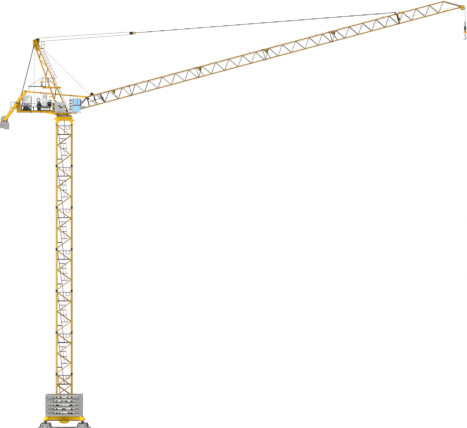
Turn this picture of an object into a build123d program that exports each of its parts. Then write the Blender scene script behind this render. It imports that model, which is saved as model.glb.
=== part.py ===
"""Luffing-jib tower crane on a rail-going base, at half size, all lengths in millimetres."""

import math
import os

from build123d import *

os.makedirs("parts", exist_ok=True)

# Track and undercarriage
track_gauge = 2586
rail_length = 3700
rail_height = 75
bogie_spacing = 2586
bogie_foot_length = 836
bogie_top_length = 660
bogie_width = 160
bogie_top = 376
wheel_radius = 115
wheel_width = 40
wheel_spacing = 350
axle_radius = 22
pivot_radius = 62
beam_bottom = 558
beam_top = 885
beam_width = 240
beam_reach = 1931
beam_end_rake = 230
hub_depth = 216

# Ballast
slab_length = 2566
slab_width = 557
slab_height = 136
slab_chamfer = 30
long_layers = 6

# Mast
mast_width = 1160
chord_size = 110
collar_size = 134
collar_length = 50
section_height = 2900
section_count = 7
mast_brace = 55
brace_inset = 100
platform_drop = 700
platform_thickness = 30
ladder_width = 200
ladder_y = -200
ladder_pitch = 420

# Slewing ring and platform
ring_support_height = 540
ring_radius = 545
ring_bore = 400
spigot_radius = 430
running_gap = 5
platform_height = 185
platform_front = 330
platform_rear = -606
platform_half_width = 540
platform_bore = 280

# Jib
jib_angle = 15
jib_pivot_x = 404
jib_depth = 686
jib_half_width = 400
jib_chord = 70
jib_collar = 90
jib_brace = 36
foot_brace_reach = 1411
foot_length = 4415
jib_section = 4820
jib_sections = 4
jib_panels = 5
jib_post_inset = 45
tip_length = 4620
tip_upper_length = 3428
tip_drop = 78
tip_sheave_radius = 160

# Tie frame, counter-jib and moving counterweight
leg_size = 90
front_leg_x = 272
rear_leg_x = -362
leg_foot_y = 430
leg_head_y = 230
head_rise = 4917
front_head_x = -1979
rear_head_x = -2140
head_sheave_x = -1861
head_sheave_rise = 5056
head_sheave_radius = 120
hoist_sheave_x = -1917
hoist_sheave_rise = 4659
hoist_sheave_radius = 150
deck_rear = -3296
deck_half_width = 450
deck_beam_height = 126
lever_pivot_x = -3277
lever_pivot_rise = 650.6
lever_upper = 1005.2
lever_lower = 1526.8
lever_angle = 54.3
lever_depth = 180
lever_y = 600
lever_thickness = 80
rod_y = 525
rod_size = 60
pin_radius = 40
pin_fit = 0.08

# Ropes, luffing tackle and hook
rope_radius = 6
rope_fit = 0.2
pendant_v = 811
block_ahead = 6517
block_rise = 468
hook_drop = 987

# Machinery on the deck
luffing_winch_x = -2625
hoist_winch_x = -1700
hoist_ring_x = -1781
stay_foot_ahead = 155

# Levels that follow
mast_half = (mast_width - chord_size) / 2
mast_top = beam_top + section_count * section_height
ring_level = mast_top + ring_support_height
platform_bottom = ring_level + 105
platform_top = platform_bottom + platform_height
jib_pivot_z = platform_top + 48.5
head_level = platform_top + head_rise
jib_cos = math.cos(math.radians(jib_angle))
jib_sin = math.sin(math.radians(jib_angle))
lever_cos = math.cos(math.radians(lever_angle))
lever_sin = math.sin(math.radians(lever_angle))
lever_pivot_z = platform_top + lever_pivot_rise
deck_bottom = platform_top - 9
deck_top = deck_bottom + deck_beam_height
joints = [foot_length + i * jib_section for i in range(jib_sections + 1)]
tip_start = joints[-1]
tip_reach = tip_start + tip_length
pendant_u = tip_start
pendant_x = jib_pivot_x + pendant_u * jib_cos - pendant_v * jib_sin
pendant_z = jib_pivot_z + pendant_u * jib_sin + pendant_v * jib_cos
tip_x = jib_pivot_x + tip_reach * jib_cos + tip_drop * jib_sin
tip_z = jib_pivot_z + tip_reach * jib_sin - tip_drop * jib_cos
rod_front_x = jib_pivot_x + foot_brace_reach * jib_cos - jib_depth * jib_sin
rod_front_z = jib_pivot_z + foot_brace_reach * jib_sin + jib_depth * jib_cos
rod_rear_x = lever_pivot_x + lever_upper * lever_cos
rod_rear_z = lever_pivot_z + lever_upper * lever_sin
weight_x = lever_pivot_x - lever_lower * lever_cos
weight_z = lever_pivot_z - lever_lower * lever_sin
head_sheave_z = platform_top + head_sheave_rise
luffing_block_x = head_sheave_x + block_ahead
luffing_block_z = head_sheave_z + block_rise
hoist_sheave_z = platform_top + hoist_sheave_rise
rope_seat = rope_radius * math.cos(math.pi / 6) + rope_fit
block_top = tip_z - hook_drop
fall_x = tip_x + tip_sheave_radius + rope_radius + rope_fit
sides = (-1, 1)


# Helpers
def upright(y):
    return Plane(origin=(0, y, 0), x_dir=(1, 0, 0), z_dir=(0, -1, 0))


def along_jib(y):
    origin = (jib_pivot_x, y, jib_pivot_z)
    return Plane(origin=origin, x_dir=(jib_cos, 0, jib_sin), z_dir=(0, -1, 0))


def across_jib(v):
    origin = (jib_pivot_x - v * jib_sin, 0, jib_pivot_z + v * jib_cos)
    return Plane(origin=origin, x_dir=(jib_cos, 0, jib_sin), z_dir=(-jib_sin, 0, jib_cos))


def strut(start, end, width, depth):
    run = Vector(*end) - Vector(*start)
    flat = Plane(origin=start, x_dir=(0, 1, 0), z_dir=run)
    with BuildPart() as bar:
        with BuildSketch(flat):
            Rectangle(width, depth)
        extrude(amount=run.length)
    return bar.part


def slab(x_range, y_range, z_range):
    with BuildPart() as block:
        with BuildSketch(Plane.XY.offset(z_range[0])):
            with Locations(((x_range[0] + x_range[1]) / 2, (y_range[0] + y_range[1]) / 2)):
                Rectangle(x_range[1] - x_range[0], y_range[1] - y_range[0])
        extrude(amount=z_range[1] - z_range[0])
    return block.part


def plate(outline, plane, thickness):
    with BuildPart() as sheet:
        with BuildSketch(plane):
            Polygon(*outline, align=None)
        extrude(amount=thickness / 2, both=True)
    return sheet.part


def disc(x, y, z, radius, thickness, facets=12, turn=0, bore=0):
    with BuildPart() as wheel:
        with BuildSketch(upright(y)):
            with Locations((x, z)):
                RegularPolygon(radius, facets, rotation=turn)
                if bore:
                    RegularPolygon(bore, 12, major_radius=False, rotation=15, mode=Mode.SUBTRACT)
        extrude(amount=thickness / 2, both=True)
    return wheel.part


def save(builder, name):
    piece = builder.part.moved(Location((0, track_gauge / 2, 0)))
    piece.label = name
    export_step(piece, f"parts/{name}.step")


# Track rails
rail_profile = [(-35, 0), (35, 0), (35, 8), (7, 14), (7, 52), (18, 58), (18, rail_height)]
rail_profile += [(-18, rail_height), (-18, 58), (-7, 52), (-7, 14), (-35, 8)]
with BuildPart() as track_rails:
    with BuildSketch(Plane.YZ):
        with Locations((-track_gauge / 2, 0), (track_gauge / 2, 0)):
            Polygon(*rail_profile, align=None)
    extrude(amount=rail_length / 2, both=True)
save(track_rails, "track_rails")

# Bogies with their axles, and the travel wheels on them
axle_level = rail_height + 0.3 + wheel_radius
corners = [(i * bogie_spacing / 2, j * track_gauge / 2) for i in sides for j in sides]
axles = [(-wheel_spacing / 2, axle_level), (wheel_spacing / 2, axle_level)]
foot = bogie_foot_length / 2
crown = bogie_top_length / 2
with BuildPart() as one_bogie:
    with BuildSketch(upright(0)):
        Polygon((-foot, rail_height + 9), (foot, rail_height + 9), (crown, bogie_top), (-crown, bogie_top),
                align=None)
    extrude(amount=bogie_width / 2, both=True)
    with BuildSketch(upright(0)):
        with Locations((0, axle_level)):
            Rectangle(wheel_spacing + 2 * wheel_radius + 30, 2 * wheel_radius + 50)
    extrude(amount=wheel_width / 2 + 6, both=True, mode=Mode.SUBTRACT)
    with BuildSketch(upright(0)):
        with Locations(*axles):
            RegularPolygon(axle_radius, 8)
    extrude(amount=bogie_width / 2 + 12, both=True)
with BuildPart() as bogies:
    with Locations(*[(x, y, 0) for x, y in corners]):
        add(one_bogie.part)
save(bogies, "bogies")
with BuildPart() as travel_wheels:
    for x, y in corners:
        with BuildSketch(upright(y)):
            with Locations(*[(x + a, level) for a, level in axles]):
                RegularPolygon(wheel_radius, 20)
                RegularPolygon(axle_radius + pin_fit, 8, mode=Mode.SUBTRACT)
        extrude(amount=wheel_width / 2, both=True)
save(travel_wheels, "travel_wheels")

# Swivel columns between bogies and beams
with BuildPart() as corner_pivots:
    with BuildSketch(Plane.XY.offset(bogie_top)):
        with Locations(*corners):
            RegularPolygon(pivot_radius, 12)
    extrude(amount=beam_bottom - bogie_top)
    with BuildSketch(Plane.XY.offset(beam_bottom - 30)):
        with Locations(*corners):
            RegularPolygon(pivot_radius + 40, 8)
    extrude(amount=30)
save(corner_pivots, "corner_pivots")

# Cross-shaped base frame with its central hub
beam_profile = [(-beam_reach, beam_bottom), (beam_reach, beam_bottom)]
beam_profile += [(beam_reach - beam_end_rake, beam_top), (beam_end_rake - beam_reach, beam_top)]
with BuildPart() as base_frame:
    for turn in sides:
        with BuildSketch(Plane(origin=(0, 0, 0), x_dir=(1, turn, 0), z_dir=(turn, -1, 0))):
            Polygon(*beam_profile, align=None)
        extrude(amount=beam_width / 2, both=True)
    with BuildSketch(Plane.XY.offset(beam_bottom - hub_depth)):
        RegularPolygon(230, 8)
    with BuildSketch(Plane.XY.offset(beam_bottom)):
        RegularPolygon(430, 8)
    loft(ruled=True)
save(base_frame, "base_frame")

# Ballast slabs stacked crosswise round the foot of the mast
half = slab_length / 2
end = slab_chamfer
slab_profile = [(end - half, 0), (half - end, 0), (half, end), (half, slab_height - end)]
slab_profile += [(half - end, slab_height), (end - half, slab_height)]
slab_profile += [(-half, slab_height - end), (-half, end)]
slab_middle = half - slab_width / 2
for side, name in zip(sides, ("ballast_near", "ballast_far")):
    with BuildPart() as ballast:
        with BuildSketch(upright(side * slab_middle)):
            with Locations(*[(0, beam_top + 2 * i * slab_height) for i in range(long_layers)]):
                Polygon(*slab_profile, align=None)
        extrude(amount=slab_width / 2, both=True)
    save(ballast, name)
for side, name in zip(sides, ("ballast_left", "ballast_right")):
    with BuildPart() as ballast:
        with BuildSketch(Plane.YZ.offset(side * slab_middle)):
            cross_levels = [beam_top + (2 * i + 1) * slab_height for i in range(long_layers - 1)]
            with Locations(*[(0, level) for level in cross_levels]):
                Polygon(*slab_profile, align=None)
        extrude(amount=slab_width / 2, both=True)
    save(ballast, name)

# Mast sides, one flat lattice for each section
inner = mast_half - chord_size / 2
levels = [section_height - brace_inset - i * (section_height - 2 * brace_inset) / 4 for i in range(5)]
left_first = [((-1) ** (i + 1), level) for i, level in enumerate(levels)]
right_first = [(-x, level) for x, level in left_first]
section_levels = [beam_top + i * section_height for i in range(section_count)]


def chord_panel(patterns):
    with BuildPart() as panel:
        with BuildSketch(upright(0)):
            for x in (-mast_half, mast_half):
                with Locations((x, section_height / 2)):
                    Rectangle(chord_size, section_height - 0.4)
        extrude(amount=chord_size / 2, both=True)
        with BuildSketch(upright(0)):
            for x in (-mast_half, mast_half):
                with Locations((x, 0.2 + collar_length / 2), (x, section_height - 0.2 - collar_length / 2)):
                    Rectangle(collar_size, collar_length)
        extrude(amount=collar_size / 2, both=True)
        for pattern in patterns:
            with BuildSketch(upright(0)):
                with BuildLine():
                    Polyline(*[(x * inner, level) for x, level in pattern])
                trace(line_width=mast_brace)
                with Locations((0, section_height / 2)):
                    Rectangle(2 * inner + 40, section_height, mode=Mode.INTERSECT)
            extrude(amount=mast_brace / 2, both=True)
    return panel.part


def brace_panel(patterns):
    with BuildPart() as panel:
        for pattern in patterns:
            with BuildSketch(Plane.YZ):
                with BuildLine():
                    Polyline(*[(y * inner, level) for y, level in pattern])
                trace(line_width=mast_brace)
                with Locations((0, section_height / 2)):
                    Rectangle(2 * inner, section_height, mode=Mode.INTERSECT)
            extrude(amount=mast_brace / 2, both=True)
    return panel.part


for panel, names, direction in (
    (chord_panel, ("mast_near_side", "mast_far_side"), (0, 1, 0)),
    (brace_panel, ("mast_left_side", "mast_right_side"), (1, 0, 0)),
):
    foot_panel = panel([left_first, right_first])
    plain_panel = panel([left_first])
    for side, name in zip(sides, names):
        shift_x = side * mast_half * direction[0]
        shift_y = side * mast_half * direction[1]
        with BuildPart() as mast_side:
            with Locations((shift_x, shift_y, section_levels[0])):
                add(foot_panel)
            with Locations(*[(shift_x, shift_y, level) for level in section_levels[1:]]):
                add(plain_panel)
        save(mast_side, name)

# Rest platforms in the mast, each with its hatch
platform_levels = [level + section_height - platform_drop for level in section_levels]
hatch_x = (-430, -40)
hatch_y = (ladder_y - 150, ladder_y + 150)
with BuildPart() as mast_platforms:
    for level in platform_levels:
        with BuildSketch(Plane.XY.offset(level)):
            Rectangle(2 * inner, 2 * (mast_half - mast_brace / 2))
            with Locations((sum(hatch_x) / 2, sum(hatch_y) / 2)):
                Rectangle(hatch_x[1] - hatch_x[0], hatch_y[1] - hatch_y[0], mode=Mode.SUBTRACT)
        extrude(amount=platform_thickness)
save(mast_platforms, "mast_platforms")


# Sloping ladders from platform to platform
def ladder(base_z, top_z, base_x, top_x):
    slope = (top_x - base_x) / (top_z - base_z)
    rungs = int((top_z - base_z) // ladder_pitch)
    outline = [(base_x - 18, base_z), (base_x + 18, base_z), (top_x + 18, top_z), (top_x - 18, top_z)]
    with BuildPart() as steps:
        for side in sides:
            add(plate(outline, upright(ladder_y + side * ladder_width / 2), 16))
        for i in range(rungs):
            rung_z = base_z + ladder_pitch * (i + 0.5)
            with Locations((base_x + slope * (rung_z - base_z), ladder_y, rung_z)):
                Box(18, ladder_width - 10, 18)
    return steps.part


climb = section_height + 500 - platform_thickness
with BuildPart() as mast_ladders:
    add(ladder(beam_top, platform_levels[0] + 500, -90, -420))
    one_ladder = ladder(0, climb, 14, -440)
    with Locations(*[(0, 0, level + platform_thickness) for level in platform_levels[:-1]]):
        add(one_ladder)
    add(ladder(platform_levels[-1] + platform_thickness, mast_top + 300, 14, 14))
save(mast_ladders, "mast_ladders")

# Ring support on top of the mast
arch_half = mast_width / 2 - 130
archway = [(-arch_half, -10), (arch_half, -10), (arch_half, 70), (arch_half - 50, 195)]
archway += [(arch_half - 180, 250), (180 - arch_half, 250), (50 - arch_half, 195), (-arch_half, 70)]
with BuildPart() as ring_support:
    with BuildSketch(Plane.XY.offset(mast_top)):
        Rectangle(mast_width, mast_width)
        Rectangle(mast_width - 80, mast_width - 80, mode=Mode.SUBTRACT)
    extrude(amount=ring_support_height)
    for face in (upright(0), Plane.YZ):
        with BuildSketch(face):
            with Locations((0, mast_top)):
                Polygon(*archway, align=None)
        extrude(amount=mast_width, both=True, mode=Mode.SUBTRACT)
    with BuildSketch(Plane.XY.offset(ring_level - 40)):
        Rectangle(mast_width, mast_width)
        RegularPolygon(330, 16, mode=Mode.SUBTRACT)
    extrude(amount=40)
    rear_bracket = [(-560, ring_level - 200), (-760, ring_level - 200), (-560, ring_level - 40)]
    front_bracket = [(560, ring_level - 320), (740, ring_level - 260)]
    front_bracket += [(740, ring_level - 230), (560, ring_level - 210)]
    for y in (-400, 400):
        add(plate(rear_bracket, upright(y), 50))
        add(plate(front_bracket, upright(y), 50))
save(ring_support, "ring_support")

# Slewing ring: lower race with its spigot, upper race round it
with BuildPart() as slewing_ring_lower:
    with BuildSketch(Plane.XY.offset(ring_level)):
        RegularPolygon(ring_radius, 36)
        RegularPolygon(ring_bore, 24, mode=Mode.SUBTRACT)
    extrude(amount=40)
    with BuildSketch(Plane.XY.offset(ring_level)):
        RegularPolygon(spigot_radius, 36)
        RegularPolygon(ring_bore, 24, mode=Mode.SUBTRACT)
    extrude(amount=90)
save(slewing_ring_lower, "slewing_ring_lower")
with BuildPart() as slewing_ring_upper:
    with BuildSketch(Plane.XY.offset(ring_level + 40 + running_gap)):
        RegularPolygon(ring_radius, 36)
        RegularPolygon(spigot_radius + 0.3, 36, major_radius=False, rotation=5, mode=Mode.SUBTRACT)
    extrude(amount=65 - running_gap)
save(slewing_ring_upper, "slewing_ring_upper")

# Slewing platform with the jib lugs and pins
lug_outline = [(290, platform_bottom + 30), (platform_front, platform_bottom + 20), (470, platform_top - 20)]
lug_outline += [(474, jib_pivot_z), (404, jib_pivot_z + 40), (334, jib_pivot_z)]
lug_outline += [(platform_front, platform_top)]
lug_outline += [(290, platform_top)]
tail = [(platform_rear + 40, platform_bottom + 10), (platform_rear - 850, deck_bottom - 12)]
tail += [(platform_rear - 850, deck_bottom), (platform_rear + 40, deck_bottom)]
bracket_level = platform_top - 100
with BuildPart() as slewing_platform:
    platform_sides = (-platform_half_width, platform_half_width)
    add(slab((platform_rear, platform_front), platform_sides, (platform_bottom, platform_top)))
    bracket_sides = (-1000, -platform_half_width + 60)
    add(slab((platform_front - 80, 843), bracket_sides, (bracket_level, platform_top - 30)))
    with BuildSketch(Plane.XY.offset(platform_bottom)):
        RegularPolygon(platform_bore, 16)
    extrude(amount=platform_height, mode=Mode.SUBTRACT)
    for side in sides:
        add(plate(tail, upright(side * (deck_half_width - 35)), 60))
        for edge in (-1, 1):
            lug_y = side * (jib_half_width + edge * (jib_chord / 2 + 5 + 10))
            add(plate(lug_outline, upright(lug_y), 20))
            add(disc(jib_pivot_x, lug_y, jib_pivot_z, 72, 20, 12))
        add(disc(jib_pivot_x, side * jib_half_width, jib_pivot_z, pin_radius, jib_chord + 60))
save(slewing_platform, "slewing_platform")

# Walkways beside the platform, the near one carrying the cab
with BuildPart() as side_walkways:
    for side, reach in zip(sides, (860, 120)):
        inner_y = side * platform_half_width
        outer_y = side * 1180
        add(slab((-700, reach), sorted((inner_y, outer_y)), (platform_top - 30, platform_top)))
save(side_walkways, "side_walkways")


# Tie frame
def leg_line(foot_x, head_x, level):
    share = (level - platform_top) / head_rise
    return foot_x + (head_x - foot_x) * share, leg_foot_y + (leg_head_y - leg_foot_y) * share


mid_level = platform_top + 1675
basket_level = platform_top + 4469
head_outline = [(-2166, head_level - 200), (-2200, head_level + 120), (-2080, head_level + 170)]
head_outline += [(-1800, head_level + 220), (-1700, head_level + 210), (-1690, head_level + 60)]
head_outline += [(-1760, head_level - 120), (-1690, head_level - 620), (-1960, head_level - 640)]
with BuildPart() as a_frame:
    for side in sides:
        for foot_x, head_x in ((front_leg_x, front_head_x), (rear_leg_x, rear_head_x)):
            low_x, low_y = leg_line(foot_x, head_x, platform_top - 100)
            high_x, high_y = leg_line(foot_x, head_x, head_level)
            low = (low_x, side * low_y, platform_top - 100)
            high = (high_x, side * high_y, head_level)
            add(strut(low, high, leg_size, leg_size))
        add(plate(head_outline, upright(side * 200), 60))
        add(disc(-2100, side * 290, head_level - 230, pin_radius, 160, 12))
    for foot_x, head_x in ((front_leg_x, front_head_x), (rear_leg_x, rear_head_x)):
        bar_x, bar_y = leg_line(foot_x, head_x, mid_level - 30)
        add(slab((bar_x - 30, bar_x + 30), (-bar_y, bar_y), (mid_level - 60, mid_level)))
        bar_x, bar_y = leg_line(foot_x, head_x, platform_top + 3200)
        add(slab((bar_x - 25, bar_x + 25), (-bar_y, bar_y), (platform_top + 3175, platform_top + 3225)))
    bar_x, bar_y = leg_line(front_leg_x, front_head_x, basket_level - 25)
    for side in sides:
        bar_sides = sorted((side * (bar_y - 25), side * (bar_y + 25)))
        add(slab((bar_x - 20, -1400), bar_sides, (basket_level - 50, basket_level)))
    with BuildSketch(Plane.XY.offset(platform_top - 400)):
        Rectangle(4000, 2000)
    extrude(amount=400, mode=Mode.SUBTRACT)
save(a_frame, "a_frame")

# Working platforms on the tie frame
with BuildPart() as mid_platform:
    add(slab((-1547, -209), (-290, 290), (mid_level, mid_level + 110)))
save(mid_platform, "mid_platform")
with BuildPart() as head_basket:
    for edge_y in ((-340, -30), (30, 340)):
        add(slab((-1582, -1373), edge_y, (basket_level, basket_level + 20)))
    add(slab((-1440, -1373), (-340, 340), (basket_level, basket_level + 20)))
    for level in (basket_level + 240, basket_level + 460):
        for edge_y in (-330, 330):
            add(slab((-1582, -1373), (edge_y - 10, edge_y + 10), (level, level + 20)))
        add(slab((-1393, -1373), (-340, 340), (level, level + 20)))
    for post_y in (-330, 0, 330):
        add(slab((-1393, -1373), (post_y - 10, post_y + 10), (basket_level, basket_level + 480)))
    for post_y in (-330, 330):
        add(slab((-1582, -1562), (post_y - 10, post_y + 10), (basket_level, basket_level + 480)))
save(head_basket, "head_basket")

# Head sheaves on their shafts
tackle_turn = 90 + math.degrees(math.atan2(block_rise, block_ahead))
with BuildPart() as head_sheaves:
    for y in (-120, -40, 40, 120):
        add(disc(head_sheave_x, y, head_sheave_z, head_sheave_radius - rope_seat, 30, 16, tackle_turn))
    add(disc(head_sheave_x, 0, head_sheave_z, 30, 340, 8))
    add(disc(hoist_sheave_x, 0, hoist_sheave_z, hoist_sheave_radius, 40, 24))
    add(disc(hoist_sheave_x, 0, hoist_sheave_z, 30, 340, 8))
save(head_sheaves, "head_sheaves")

# Counter-jib deck with the lever posts and pins
stay_foot_x = lever_pivot_x + stay_foot_ahead
stay_foot_z = lever_pivot_z - 15
post_outline = [(deck_rear, deck_top - 20), (stay_foot_x + 90, deck_top - 20)]
post_outline += [(stay_foot_x + 55, stay_foot_z)]
post_outline += [(stay_foot_x, stay_foot_z + 55), (lever_pivot_x + 50, lever_pivot_z + 75)]
post_outline += [(lever_pivot_x - 30, lever_pivot_z + 75), (lever_pivot_x - 70, lever_pivot_z)]
with BuildPart() as counter_jib:
    for side in sides:
        beam_y = side * (deck_half_width - 35)
        add(slab((deck_rear, platform_rear), (beam_y - 35, beam_y + 35), (deck_bottom, deck_top)))
        add(plate(post_outline, upright(side * (deck_half_width - 25)), 50))
        add(disc(lever_pivot_x, side * 542, lever_pivot_z, 45, 216))
        add(disc(stay_foot_x, side * 471, stay_foot_z, 25, 52, 8))
    for x in (deck_rear + 40, -2700, -2100, -1500, -900):
        bar_sides = (-deck_half_width + 60, deck_half_width - 60)
        add(slab((x - 30, x + 30), bar_sides, (deck_bottom + 20, deck_top - 12)))
    add(slab((deck_rear, platform_rear), (-deck_half_width, deck_half_width), (deck_top - 12, deck_top)))
save(counter_jib, "counter_jib")

# Deck handrails
with BuildPart() as deck_handrails:
    for side in sides:
        rail_y = side * (deck_half_width - 12)
        for level in (deck_top + 290, deck_top + 518):
            add(slab((-3030, -740), (rail_y - 8, rail_y + 8), (level, level + 16)))
        for x in (-3030, -2457, -1884, -1311, -756):
            add(slab((x, x + 16), (rail_y - 8, rail_y + 8), (deck_top, deck_top + 534)))
save(deck_handrails, "deck_handrails")

# Luffing winch at the rear of the deck, under its hood
with BuildPart() as luffing_winch:
    add(slab((luffing_winch_x - 385, luffing_winch_x + 335), (-330, 330), (deck_top, deck_top + 60)))
    for y in (-300, 300):
        cheek = [(luffing_winch_x - 280, deck_top + 60), (luffing_winch_x + 280, deck_top + 60)]
        cheek += [(luffing_winch_x + 180, deck_top + 352), (luffing_winch_x - 180, deck_top + 352)]
        add(plate(cheek, upright(y), 40))
    add(disc(luffing_winch_x, 0, deck_top + 200, 110, 600, 16))
    for y in (-255, 255):
        add(disc(luffing_winch_x, y, deck_top + 200, 145, 24, 16))
    add(slab((luffing_winch_x - 385, luffing_winch_x - 345), (-330, -250), (deck_top + 60, deck_top + 490)))
save(luffing_winch, "luffing_winch")
hood_rear = luffing_winch_x - 288
hood_front = luffing_winch_x + 353
hood_top = deck_top + 1071
hood_round = [(70, 0), (21, 21), (0, 70)]
hood_outline = [(hood_rear, deck_top + 352.3), (hood_front, deck_top + 352.3)]
hood_outline += [(hood_front - x, hood_top - z) for z, x in hood_round]
hood_outline += [(hood_rear + x, hood_top - z) for x, z in hood_round]
with BuildPart() as winch_hood:
    add(plate(hood_outline, upright(0), 680))
save(winch_hood, "winch_hood")

# Hoist winch with its ring gear, and the control cabinet over it
with BuildPart() as hoist_winch:
    add(slab((hoist_winch_x - 200, hoist_winch_x + 760), (-330, 330), (deck_top, deck_top + 60)))
    for y in (-300, 300):
        wedge = [(hoist_winch_x - 170, deck_top + 60), (hoist_winch_x + 60, deck_top + 60)]
        wedge += [(hoist_winch_x - 40, deck_top + 760), (hoist_winch_x - 120, deck_top + 760)]
        add(plate(wedge, upright(y), 40))
    add(disc(hoist_winch_x - 60, 0, deck_top + 320, 130, 600, 16))
    for y in (-255, 255):
        add(disc(hoist_winch_x - 60, y, deck_top + 320, 185, 24, 16))
    add(disc(hoist_ring_x, -350, deck_top + 750, 143, 70, 24))
    add(slab((hoist_winch_x + 20, hoist_winch_x + 760), (-330, 330), (deck_top + 208, deck_top + 292)))
    for x in (hoist_winch_x + 60, hoist_winch_x + 700):
        add(slab((x - 30, x + 30), (-300, 300), (deck_top + 60, deck_top + 208)))
    add(slab((hoist_winch_x + 530, hoist_winch_x + 820), (-220, 220), (deck_top + 292, deck_top + 640)))
save(hoist_winch, "hoist_winch")
with BuildPart() as control_cabinet:
    cabinet_rear = hoist_winch_x + 215
    add(slab((cabinet_rear, cabinet_rear + 276), (-280, 280), (deck_top + 292.3, deck_top + 1148)))
save(control_cabinet, "control_cabinet")

# Switch cabinet on the near walkway
with BuildPart() as switch_cabinet:
    add(slab((-655, 56), (-900, -550), (platform_top, platform_top + 700)))
save(switch_cabinet, "switch_cabinet")

# Guy bars from the head to the lever posts
stay_top = Vector(-2100, 0, head_level - 230)
stay_foot = Vector(stay_foot_x, 0, stay_foot_z)
stay_run = (stay_top - stay_foot).normalized()
stay_length = (stay_top - stay_foot).length
with BuildPart() as counter_jib_stays:
    for side in sides:
        foot_end = stay_foot + stay_run * 240
        top_end = stay_top - stay_run * 200
        joint_y = side * (468 - 122 * 628 / stay_length)
        add(disc(stay_foot.X, side * 468, stay_foot.Z, 52, 30, 12, bore=25 + pin_fit))
        foot_tab = strut(tuple(stay_foot + stay_run * 45), tuple(stay_foot + stay_run * 280), 30, 44)
        add(foot_tab.moved(Location((0, side * 468, 0))))
        add(disc(stay_top.X, side * 346, stay_top.Z, 66, 30, 12, bore=pin_radius + pin_fit))
        top_tab = strut(tuple(stay_top - stay_run * 240), tuple(stay_top - stay_run * 58), 30, 44)
        add(top_tab.moved(Location((0, side * 346, 0))))
        add(strut((foot_end.X, side * 468, foot_end.Z), (top_end.X, side * 346, top_end.Z), 26, 28))
        stay_joint = stay_foot + stay_run * 628
        add(disc(stay_joint.X, joint_y, stay_joint.Z, 58, 34, 8))
save(counter_jib_stays, "counter_jib_stays")

# Service davit over the deck
davit_level = mid_level + 110
davit_y = -150
with BuildPart() as service_davit:
    add(slab((-2488, -1250), (davit_y - 30, davit_y + 30), (davit_level, davit_level + 60)))
    add(slab((-1620, -1560), (davit_y - 30, davit_y + 30), (davit_level + 60, davit_level + 280)))
    for level, radius in ((270, 65), (320, 120), (420, 65)):
        with BuildSketch(Plane.XY.offset(davit_level + level)):
            with Locations((-1590, davit_y)):
                RegularPolygon(radius, 10)
    loft(ruled=True)
    add(slab((-2460, -2430), (davit_y - 15, davit_y + 15), (davit_level - 420, davit_level)))
    add(strut((-2460, davit_y, davit_level + 40), (-1290, davit_y, davit_level + 760), 20, 20))
    add(strut((-1290, davit_y, davit_level + 770), (-1290, davit_y, davit_level + 20), 30, 30))
save(service_davit, "service_davit")

# Driver's cab
cab_rear = 355
cab_floor = platform_top
cab_outline = [(cab_rear, 0), (1110, 0), (1150, 80), (1234, 330), (1240, 880), (1215, 930), (1150, 960)]
cab_outline.append((cab_rear, 975))
cab_inside = [(cab_rear + 25, 25), (1094, 25), (1128, 90), (1209, 335), (1214, 875), (1196, 908)]
cab_inside += [(1142, 935), (cab_rear + 25, 950)]
cab_y = (-1140, -560)
cab_middle = (cab_y[0] + cab_y[1]) / 2
cab_width = cab_y[1] - cab_y[0]
side_windows = [[(640, 40), (955, 40), (1126, 440), (640, 440)]]
side_windows.append([(683, 512), (925, 512), (925, 914), (683, 914)])
side_windows.append([(943, 512), (1134, 512), (1134, 908), (943, 914)])
side_windows.append([(1148, 180), (1203, 345), (1206, 870), (1148, 870)])
windscreen = [(1168, 195), (1176, 195), (1222, 335), (1227, 865), (1219, 865), (1214, 335)]
with BuildPart() as cab_shell:
    with BuildSketch(upright(cab_middle)):
        with Locations((0, cab_floor)):
            Polygon(*cab_outline, align=None)
    extrude(amount=cab_width / 2, both=True)
    with BuildSketch(upright(cab_middle)):
        with Locations((0, cab_floor)):
            Polygon(*cab_inside, align=None)
    extrude(amount=cab_width / 2 - 25, both=True, mode=Mode.SUBTRACT)
    for window in side_windows:
        with BuildSketch(upright(cab_middle)):
            with Locations((0, cab_floor)):
                Polygon(*window, align=None)
        extrude(amount=cab_width, both=True, mode=Mode.SUBTRACT)
    with BuildSketch(Plane.YZ.offset(1140)):
        with Locations((cab_middle, cab_floor + 530)):
            Rectangle(cab_width - 110, 670)
    extrude(amount=200, mode=Mode.SUBTRACT)
save(cab_shell, "cab_shell")
with BuildPart() as cab_glass:
    for pane_y in (cab_y[0] + 12, cab_y[1] - 12):
        for window in side_windows:
            add(plate([(x, z + cab_floor) for x, z in window], upright(pane_y), 8))
    add(plate([(x, z + cab_floor) for x, z in windscreen], upright(cab_middle), cab_width - 110))
save(cab_glass, "cab_glass")

# Jib sides, one flat lattice for each section
tip_end = tip_reach - 110


def warren(lower, upper):
    points = []
    for i in range(len(lower)):
        points.append((lower[i], 0))
        if i < len(upper):
            points.append((upper[i], jib_depth))
    return points


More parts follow.
